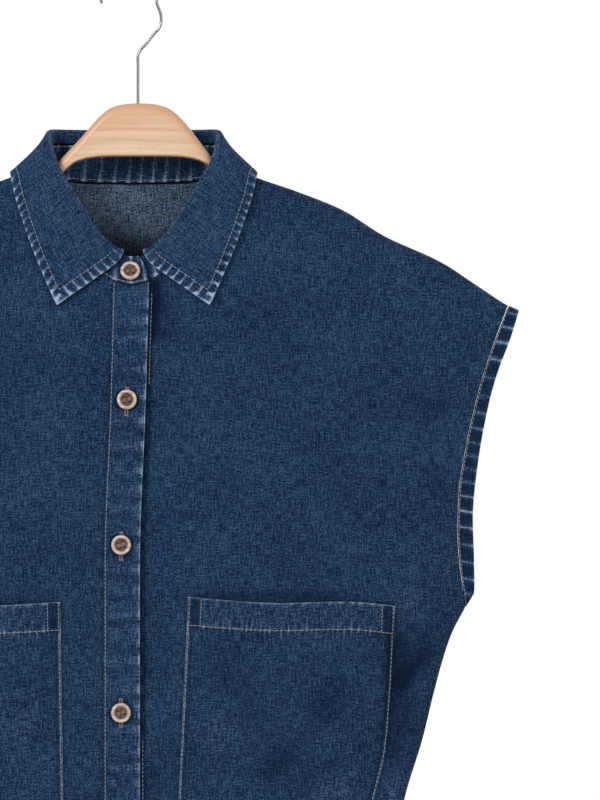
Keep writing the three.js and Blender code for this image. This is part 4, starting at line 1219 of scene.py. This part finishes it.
def leaf_section(turn, fall_steps):
    side, _, at = neck_turn(turn)
    away = facing(turn)
    half = LEAF_WALL / 2
    top, fold = collar_place("top", turn), collar_place("fold", turn)
    bend = float(np.clip(0.3 * (fold[2] - top[2]), *LEAF_BEND))
    centre = fold + away * (bend - half) - UP * (half + bend)
    turned = [centre + bend * (-math.cos(a) * away + math.sin(a) * UP)
              for a in np.linspace(0, math.pi, BEND_STEPS)]
    root = top - away * half + UP * LEAF_RISE
    rising = [mix(root, turned[0], t) for t in np.linspace(0, 1, RISE_STEPS)[:-1]]
    face = "front" if at < 90 else "back"
    sign = SWELL[face]["sign"]

    def body_y(points):
        h = np.abs(points[:, 0] - centre_x(points[:, 2]))
        under = swell(face, side, h, points[:, 2] - LEAF_CLEARANCE)
        return sign * (under + LEAF_CLEARANCE * np.minimum(1, under / ROLL_RADIUS))
    edge = np.array([COLLAR_CENTRE + side * collar["edge_h"](at), 0, collar["edge_z"](at)])
    edge[1] = body_y(edge[None])[0]
    fall = mix(turned[-1][None], edge[None], fall_steps[:, None])
    drop = LEAF_END_DROP * fade(at - LEAF_START, LEAF_END_FADE)
    fall[:, 2] -= drop * (1 - fade(fall_steps, 0.05)) * (1 - fall_steps)
    settle = 1 - (1 - clamp01(fall_steps / SETTLED)) ** 2
    fall[:, 1] += sign * np.maximum(0, sign * (body_y(fall) - fall[:, 1])) * settle
    return np.concatenate([np.stack(rising + turned), fall[1:]])


def distance_to_line(points, line):
    """Distance from each point of a grid to a row of short straight stretches."""
    a, along = line[:-1], np.diff(line, axis=0)
    squares = np.sum(along ** 2, axis=-1)
    distance = np.empty(points.shape[:2])
    for j in range(points.shape[1]):
        offset = points[:, j, None] - a
        t = clamp01(np.sum(offset * along, axis=-1) / squares)
        distance[:, j] = np.linalg.norm(offset - t[..., None] * along, axis=-1).min(axis=1)
    return distance


def smoothed(grid, times):
    for _ in range(times):
        grid[:, 1:-1] = 0.25 * grid[:, :-2] + 0.5 * grid[:, 1:-1] + 0.25 * grid[:, 2:]
    return grid


def leaf_turns():
    ends = LEAF_START + np.array([0, 0.05, 0.15, 0.35, 0.65])
    half = np.concatenate([ends, np.linspace(9.1, 180, 150)])
    return np.concatenate([half, 360 - half[-2::-1]])


def collar_leaf():
    turns = leaf_turns()
    fall_steps = np.concatenate([np.linspace(0, 0.955, 38), [0.97, 0.982, 0.991, 0.997, 1]])
    grid = smoothed(np.stack([leaf_section(turn, fall_steps) for turn in turns]), 3)
    normal = grid_normals(grid, np.stack([facing(turn) for turn in turns]), FALL_COLUMN)
    outer_line = distance_to_line(grid, grid[:, -1])
    front_line = np.minimum(distance_to_line(grid, grid[0]), distance_to_line(grid, grid[-1]))
    run, rise = run_along(grid, 0), run_along(grid, 1)
    from_edge = np.minimum(outer_line, front_line)
    wave_outer = roping(run[:, -1:] + 0 * rise, LEAF_PITCH, 1.7, outer_line, 0.3)
    wave_front = roping(rise, LEAF_PITCH, 3.9, front_line, 0.3)
    in_outer = fade(np.maximum(0, outer_line - OUTER_STITCH), 2.5)
    in_front = fade(np.maximum(0, front_line - FRONT_STITCH), 2.5)
    wave = np.where(in_front > in_outer, wave_front * in_front, wave_outer * in_outer)
    groove = bell(outer_line - OUTER_STITCH, 1.1) + bell(front_line - FRONT_STITCH, 1.1)
    relief = 0.34 * wave * clamp01(from_edge / 1.4) - 0.25 * np.minimum(groove, 1)
    from_fold = rise - rise[:, FOLD_COLUMN, None]
    fold_rub = bell(from_fold, 2.5)
    tint_and_shade = (1.05 * rubbed(wave, 3) - 0.3) * np.maximum(in_outer, in_front) + 1.1 * fade(from_edge, 1.4)
    tint_and_shade = tint_and_shade + 0.06 * in_front + 0.3 * fold_rub + 1.15 * fade(np.hypot(outer_line, front_line), 8)
    tint_and_shade = np.where(from_fold < 0, 0.3 * wave + 0.35 * fold_rub, tint_and_shade)
    pinch = edge_pinch(from_edge, LEAF_WALL)
    outer = moved(grid, normal, LEAF_WALL / 2 + relief - pinch)
    inner = moved(grid, normal, pinch - LEAF_WALL / 2)
    threads = np.stack([run[:, 24:25] + 0 * rise + 1500, rise], axis=-1)
    made = shell("collar_leaf", (outer, inner), threads, tint_and_shade, [DENIM_TRIM])
    stitches("collar_stitches", [leaf_stitches(outer, normal, outer_line, front_line)])
    return made, sheet_area(outer)


def leaf_stitches(outer, normal, outer_line, front_line):
    """The row goes down one front edge, round the outer edge and up the other front edge."""
    rows, columns = outer_line.shape
    fall = np.arange(FALL_COLUMN + 1, columns)

    def front_edge(front, edge):
        i = np.array([np.interp(FRONT_STITCH, front[:60, j], np.arange(60)) for j in fall])
        seen = grid_line(edge[..., None], i, fall)[:, 0] > OUTER_STITCH
        return i[seen], fall[seen]
    first_i, first_j = front_edge(front_line, outer_line)
    last_i, last_j = front_edge(front_line[::-1], outer_line[::-1])
    i = np.arange(rows)
    j = np.array([np.interp(-OUTER_STITCH, -line[fall], fall) for line in outer_line])
    seen = grid_line(front_line[..., None], i, j)[:, 0] > FRONT_STITCH
    i = np.concatenate([first_i, i[seen], rows - 1 - last_i[::-1]])
    j = np.concatenate([first_j, j[seen], last_j[::-1]])
    return stitch_row(*on_grid(outer, normal, i, j))


leaf, leaf_area = collar_leaf()

# %% [markdown]
# The buttons look like turned horn or wood: a pale raised rim round a brown, slightly hollow
# middle with four holes. Each is one lathe shape with real holes, made by four boolean cuts. The
# thread that holds it crosses in two short bars.

# %% Buttons
HOLE_RADIUS = 0.95
HOLE_OFFSET = 1.75
BUTTON_LIFT = SEAM_GAP + TRIM + 0.3
LIFT_ON_STAND = 1
BUTTON_STEPS = 48
# radius and height along the profile, from the back round the rim to the hollow of the front
BUTTON_PROFILE = (
    (4.5, 0), (6.0, 0.12), (6.7, 0.5), (7.05, 1.05), (7.1, 1.6), (7.0, 2.25), (6.65, 2.75),
    (6.1, 2.98), (5.5, 2.95), (5.05, 2.7), (4.75, 2.25), (4.45, 1.98), (3.9, 1.88), (2.0, 1.82))
HOLLOW_HEIGHT = 1.8
MIDDLE_FROM = 10
BUTTON_TURN = 7              # degrees from one button to the next
THREAD_HEIGHT = 1.95


def resin(tree, body, deep, streak, roughness):
    """Cast polyester resin, streaked like horn and polished."""
    wide = scaled(tree, object_place(tree), 5, 5, 1.2)
    cloud = add(tree, "TexNoise", i0=wide, Scale=1.0, Detail=4.0, Distortion=0.8)
    colour = three_tones(tree, cloud, 0.32, 0.7, deep, body, streak)
    return surface(tree, colour, bumpy(tree, cloud, 0.15, 0.1), roughness, IOR=1.53)


BUTTON_RIM = material("cream_resin", resin, "#b2a094", "#8e7765", "#c6beba", 0.4)
BUTTON_MIDDLE = material("brown_resin", resin, "#53392a", "#33211a", "#6c4e38", 0.45)


def button_mesh():
    angles = 2 * math.pi * np.arange(BUTTON_STEPS) / BUTTON_STEPS
    points = [(0, 0, 0)]
    for radius, height in BUTTON_PROFILE:
        points += [(radius * math.cos(a), radius * math.sin(a), height) for a in angles]
    points.append((0, 0, HOLLOW_HEIGHT))
    rings, last = len(BUTTON_PROFILE), len(points) - 1
    faces = [[1 + k for k in quad] for quad in tube_faces(rings, BUTTON_STEPS)[0]]
    middle = [int(n // BUTTON_STEPS >= MIDDLE_FROM) for n in range(len(faces))]
    front = 1 + (rings - 1) * BUTTON_STEPS
    for k in range(BUTTON_STEPS):
        after = (k + 1) % BUTTON_STEPS
        faces += [[0, 1 + after, 1 + k], [front + k, front + after, last]]
        middle += [0, 1]
    mesh = new_mesh("button_blank", np.array(points, float), faces, [BUTTON_RIM, BUTTON_MIDDLE], middle)
    blank = bpy.data.objects.new("button_blank", mesh)
    bpy.context.collection.objects.link(blank)
    for a in (-1, 1):
        for b in (-1, 1):
            bpy.ops.mesh.primitive_cylinder_add(
                vertices=20, radius=HOLE_RADIUS * MM, depth=8 * MM,
                location=(a * HOLE_OFFSET * MM, b * HOLE_OFFSET * MM, 1.5 * MM))
            drill = bpy.context.object
            drill.data.materials.append(BUTTON_MIDDLE)
            cut = blank.modifiers.new("hole", "BOOLEAN")
            cut.object, cut.operation, cut.solver = drill, "DIFFERENCE", "EXACT"
            bpy.context.view_layer.objects.active = blank
            bpy.ops.object.modifier_apply(modifier="hole")
            bpy.data.objects.remove(drill)
    bpy.data.objects.remove(blank)
    mesh.set_sharp_from_angle(angle=math.radians(35))
    return mesh


def button_place(z):
    """Where a button's back lies and the way it faces, on the placket or on the stand."""
    point = cloth_point("front", -1, BUTTON_H, z)
    seam_z, top_y, top_z = (float(collar[k](0)) for k in ("seam_z", "top_y", "top_z"))
    if z < seam_z:
        return point, cloth_normal("front", -1, BUTTON_H, z), BUTTON_LIFT
    lower_y = cloth_point("front", -1, BUTTON_H, seam_z)[1]
    point[1] = mix(lower_y - COLLAR_SEAM_STEP, top_y, (z - seam_z) / (top_z - seam_z))
    return point, unit(np.array([0, seam_z - top_z, top_y - lower_y])), LIFT_ON_STAND


button_shape = button_mesh()
button_threads = []
for number, z in enumerate(BUTTON_HEIGHTS, start=1):
    point, normal, lift = button_place(z)
    out = unit(normal)
    right = unit(np.cross(UP, out))
    up = np.cross(out, right)
    spin = math.radians(BUTTON_TURN * number)
    turned_x = math.cos(spin) * right + math.sin(spin) * up
    turned_y = math.cos(spin) * up - math.sin(spin) * right
    mesh = button_shape.copy()
    places = np.empty(len(mesh.vertices) * 3)
    mesh.vertices.foreach_get("co", places)
    turned = places.reshape(-1, 3) @ np.stack([turned_x, turned_y, out])
    mesh.vertices.foreach_set("co", (turned + (point + out * lift) * MM).ravel())
    mesh.update()
    new_piece(f"button_{number}_resin", mesh, f"button_{number}")
    centre = point + out * (lift + THREAD_HEIGHT)
    for a in (-1, 1):
        for spread in (-0.35, 0, 0.35):
            start = centre + turned_x * (a * HOLE_OFFSET + spread) - turned_y * HOLE_OFFSET
            end = start + turned_y * 2 * HOLE_OFFSET
            button_threads.append(thread_rings(start[None], end[None], out[None], 0.28))
stitches("button_threads", button_threads, BUTTON_THREAD)

# %% [markdown]
# Each buttonhole is a narrow slit with close satin stitches down both sides and a bar at each
# end. Behind a fastened button only its two ends show.

# %% Buttonholes
HOLE_LENGTH = 19.6
HOLE_RISE = 0.8
HOLE_HALF_WIDTH = 1.5
SLIT_HALF_WIDTH = 0.25
BAR_HALF_WIDTH = 1.7
BAR_RADIUS = 0.3
SATIN_PITCH = 0.55
SATIN_SLANT = 0.2


def across_placket(left, right, z_left, z_right, radius):
    """Threads across the outside of the right placket, between two distances from its middle."""
    def on_placket(x, z):
        x = place_in(over_x, x - BUTTON_H)
        return on_grid(over_outer, over_normal, x, place_in(over_outer[0, :, 2], z))
    start, normal = on_placket(left, z_left)
    return thread_rings(start, on_placket(right, z_right)[0], normal, radius)


def buttonhole(z):
    half = HOLE_LENGTH / 2
    up = z + np.arange(-half, half, SATIN_PITCH)
    rows = [across_placket(side * SLIT_HALF_WIDTH, side * HOLE_HALF_WIDTH, up, up + SATIN_SLANT,
                           THREAD_RADIUS) for side in (-1, 1)]
    bars = z + np.array([-half - 0.3, -half + 0.15, half + 0.1, half + 0.55])
    rows.append(across_placket(-BAR_HALF_WIDTH, BAR_HALF_WIDTH, bars, bars, BAR_RADIUS))
    return join_threads(rows)


stitches("buttonholes", [buttonhole(z + HOLE_RISE) for z in BUTTON_HEIGHTS[1:]], BUTTON_THREAD)

# %% [markdown]
# The hanger is a flat-sawn beech board, cut to a low curve, its edges rounded with a router and
# sealed with clear varnish. The grain runs along the arms as long fine streaks with short dark
# flecks, and the rounded edges look warmer where they cut across it. The rounded lower edge is
# also painted darker: painted shade.

# %% Hanger
HANGER_X = 7.5
HANGER_HALF = 5.2
ARM_HEIGHT = 12
ARMS_FROM = 80
UNDER_CLOTH = 3.2
NECK_SLOPE = 1.3
NECK_IN = 6.3
HANGER_DIP = (1.6, 14)
CREST_END = 59.2
# distance from the middle, height
crest_top = smooth_through([
    (0, -96.5), (9, -97.1), (17.8, -98.9), (22, -100.9), (28.4, -106), (36.2, -114.7),
    (43.4, -122.9), (52, -132), (59.2, -140)])
crest_bottom = smooth_through([
    (0, -135), (17.8, -135), (22, -135.1), (28.4, -135.4), (36.2, -136.4), (43.4, -138.4),
    (52, -143.8), (59.2, -150.5)])
# half thickness, and depth under the top edge or height over the bottom edge
TOP_RING = (
    (1.8, 0), (2.9, 0.75), (3.8, 2.0), (4.5, 3.8),
    (HANGER_HALF - 0.1, 5.6), (HANGER_HALF, 6.4), (HANGER_HALF, 9.5))
LOW_RING = (
    (HANGER_HALF, 1.9), (HANGER_HALF - 0.25, 1.1), (HANGER_HALF - 0.9, 0.35), (HANGER_HALF - 1.8, 0))
# such depths and heights, and the warmth of the colour there; over 1 on the lower ring it is painted shade
TOP_WARMTH = ((3.8, 6.4, 9.5), (0.95, 0.7, 0.45))
LOW_WARMTH_AND_SHADE = ((0.3, 1.1, 1.9), (2.0, 1.5, 0.1))


def beech(tree):
    place = object_place(tree)
    warp = add(tree, "TexNoise", out=1, i0=place, Scale=1 / (45 * MM), Detail=1.0)
    bent = add(tree, "Mix", {"data_type": "VECTOR"}, 1, i0=0.004, i4=place, i5=warp)
    growth = add(tree, "TexNoise", i0=scaled(tree, bent, 150, 7, 4), Scale=1.0, Detail=3.0, Roughness=0.55)
    fleck = add(tree, "TexNoise", i0=scaled(tree, place, 5, 0.6, 0.45), Scale=1.0, Detail=1.0)
    dark = add(tree, "MapRange", i0=fleck, i1=0.6, i2=0.75, i3=0.0, i4=0.55)
    colour = three_tones(tree, growth, 0.32, 0.66, "#c09977", "#cdae8c", "#d7c2a6")
    colour = blend(tree, dark, colour, "#ad8765")
    edge = add(tree, "Attribute", {"attribute_name": "tint_and_shade"}, "Fac")
    colour = blend(tree, edge, colour, "#bb8e6e")
    # Values over 1, on the lower rounded edge, darken the wood: painted shade.
    under_edge_shade = add(tree, "MapRange", i0=edge, i1=1.0, i2=2.0, i3=0.0, i4=0.75)
    colour = blend(tree, under_edge_shade, colour, "#6e4c36")
    return surface(tree, colour, bumpy(tree, fleck, 0.15, 0.2), 0.42, IOR=1.5,
                   Coat_Weight=0.2, Coat_Roughness=0.3)


def closed_tube(name, points, sides, finish, tint_and_shade=None):
    """The mesh of a tube through rings of points, with its outside out."""
    quads, caps = tube_faces(len(points) // sides, sides)
    faces = quads + caps
    if signed_volume(points, np.array(quads)) < 0:
        faces = [face[::-1] for face in faces]
    return new_mesh(name, points, faces, [finish], tint_and_shade=tint_and_shade)


def hanger_top(out, side):
    x = HANGER_X + side * out
    h = abs(x - float(centre_x(shoulder_z(abs(x)))))
    seam = float(collar["seam_h"](90))
    neck = max(0, seam - NECK_IN - h) * NECK_SLOPE
    dip = HANGER_DIP[0] * (1 - soft_step((h - seam) / HANGER_DIP[1]))
    under = float(shoulder_z(max(h, seam))) - UNDER_CLOTH - dip + neck
    joined = soft_step((out - CREST_END) / (ARMS_FROM - CREST_END))
    return min(mix(float(crest_top(out)), under, joined), under)


def hanger_wood():
    tip = [208, 211, 214, 216.5, 218.6, 219.6, 220]
    outs = np.concatenate([np.arange(0, 80, 1.6), np.arange(80, 208, 3.2), tip])
    sizes = np.interp(outs, [208, 214, 218.6, 219.6, 220], [1, 0.9, 0.62, 0.45, 0.3])
    stations = [(-1, out, size) for out, size in zip(outs[::-1], sizes[::-1])]
    stations += [(1, out, size) for out, size in zip(outs[1:], sizes[1:])]
    half = [(-y, -depth, True, np.interp(depth, *TOP_WARMTH)) for y, depth in TOP_RING]
    half += [(-y, rise, False, np.interp(rise, *LOW_WARMTH_AND_SHADE)) for y, rise in LOW_RING]
    ring = half + [(-y, dz, is_top, point_warmth_and_shade) for y, dz, is_top, point_warmth_and_shade in half[::-1]]
    points, warmth_and_shade = [], []
    for side, out, size in stations:
        top = hanger_top(out, side)
        bottom = mix(float(crest_bottom(out)), top - ARM_HEIGHT, float(soft_step((out - 40) / 26)))
        for y, dz, is_top, point_warmth_and_shade in ring:
            z = mix((top + bottom) / 2, (top if is_top else bottom) + dz, size)
            points.append((HANGER_X + side * out, y * mix(0.6, 1, size), z))
            warmth_and_shade.append(point_warmth_and_shade)
    mesh = closed_tube("hanger_board", np.array(points), len(ring), material("varnished_beech", beech), warmth_and_shade)
    mesh.set_sharp_from_angle(angle=math.radians(40))
    new_piece("hanger_board", mesh, "hanger_wood")


hanger_wood()

# %% [markdown]
# The hook is hard drawn steel wire, bent cold and plated with nickel. It stands in a hole in the
# middle of the hanger, slants out to the side and bends back over the rail. It is swept from the
# same path as its solid, with the corners drawn as curves.

# %% Hook
WIRE_RADIUS = 1
LOOP_RADIUS = 20.4
LOOP_ARC = (-14, 196)        # degrees
STEM_X = 6.4
STEM_TOP = -62.6
STEM_FOOT = -114.8
BEND_X, BEND_Z = 22.9, -40.5
WIRE_SIDES = 16
CURVE_STEPS = 4


def plated_steel(tree):
    marks = add(tree, "TexNoise", i0=scaled(tree, object_place(tree), 0.5, 0.5, 9), Scale=1.0, Detail=2.0)
    colour = blend(tree, marks, "#6f7173", "#97999b")
    return surface(tree, colour, bumpy(tree, marks, 0.1, 0.05), 0.24, Metallic=1.0)


def hook_path():
    centre_z = WIRE_RADIUS - LOOP_RADIUS
    angles = np.radians(np.linspace(*LOOP_ARC, 22))
    loop = [(LOOP_RADIUS * math.cos(a), centre_z + LOOP_RADIUS * math.sin(a)) for a in angles]
    path = [
        (STEM_X, STEM_FOOT), (STEM_X, STEM_FOOT + 20), (STEM_X, STEM_TOP - 6), (STEM_X, STEM_TOP),
        (STEM_X + 1.6, STEM_TOP + 4), (STEM_X + 5, STEM_TOP + 7.6), (BEND_X - 5.2, BEND_Z - 6.6),
        (BEND_X - 1.6, BEND_Z - 2.6), (BEND_X, BEND_Z + 2), (BEND_X - 0.3, BEND_Z + 8), *loop]
    return np.array([(x, 0, z) for x, z in path])


def rounded_path(points, steps):
    """A centripetal curve through the points, so tight corners don't overshoot."""
    reach = np.linalg.norm(np.diff(points, axis=0), axis=1) ** 0.5
    at = np.concatenate([[0], np.cumsum(reach)])
    tangent = np.gradient(points, at, axis=0)
    out = []
    for i, span in enumerate(reach):
        for t in np.linspace(0, 1, steps, endpoint=False):
            out.append(cubic(points[i], points[i + 1], span * tangent[i], span * tangent[i + 1], t))
    return np.array([*out, points[-1]])


def wire_hook():
    path = rounded_path(hook_path(), CURVE_STEPS)
    along = unit(np.gradient(path, axis=0))
    across = np.stack([-along[:, 2], 0 * along[:, 0], along[:, 0]], axis=-1)
    radius = np.full((len(path), 1), WIRE_RADIUS, float)
    radius[[0, -1]] *= 0.55
    angles = 2 * math.pi * np.arange(WIRE_SIDES) / WIRE_SIDES
    rings = [path + radius * (math.cos(a) * across + math.sin(a) * np.array([0, 1, 0])) for a in angles]
    points = np.stack(rings, axis=1).reshape(-1, 3)
    steel = material("nickel_plated_steel", plated_steel)
    mesh = closed_tube("hook_wire", points, WIRE_SIDES, steel)
    new_piece("hook_wire", mesh, "hanger_hook")


wire_hook()

# %% [markdown]
# The floor is plain and pale, and far enough down that no shadow reaches the picture. It fades
# out towards its rim, so no edge of it shows against the white backdrop.

# %% Floor finish
def fading_floor(tree):
    place = object_place(tree)
    tone = blend(tree, add(tree, "TexNoise", i0=place, Scale=3.0), "#e6e6e6", "#f0f0f0")
    matte = add(tree, "BsdfPrincipled", i0=tone, Roughness=0.8)
    from_middle = add(tree, "VectorMath", {"operation": "LENGTH"}, "Value", i0=place)
    fading = add(tree, "MapRange", i0=from_middle, i1=0.5, i2=3.0, i3=0.0, i4=1.0)
    return add(tree, "MixShader", i0=fading, i1=matte, i2=add(tree, "BsdfTransparent"))


floor.data.materials.append(material("matte_white_floor", fading_floor))

# %% [markdown]
# The smaller of each armhole band's area and a most area, in square metres, is taken and not used
# further. Then the triangles of all pieces are counted and printed.

# %% Band areas and triangle count
MOST_BAND_AREA = 0.0063

min(band_left_area, MOST_BAND_AREA)
min(band_right_area, MOST_BAND_AREA)

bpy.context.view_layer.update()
triangles = sum(len(face.vertices) - 2 for made in pieces.values() for face in made.data.polygons)
print("pieces:", len(pieces), "triangles:", triangles)
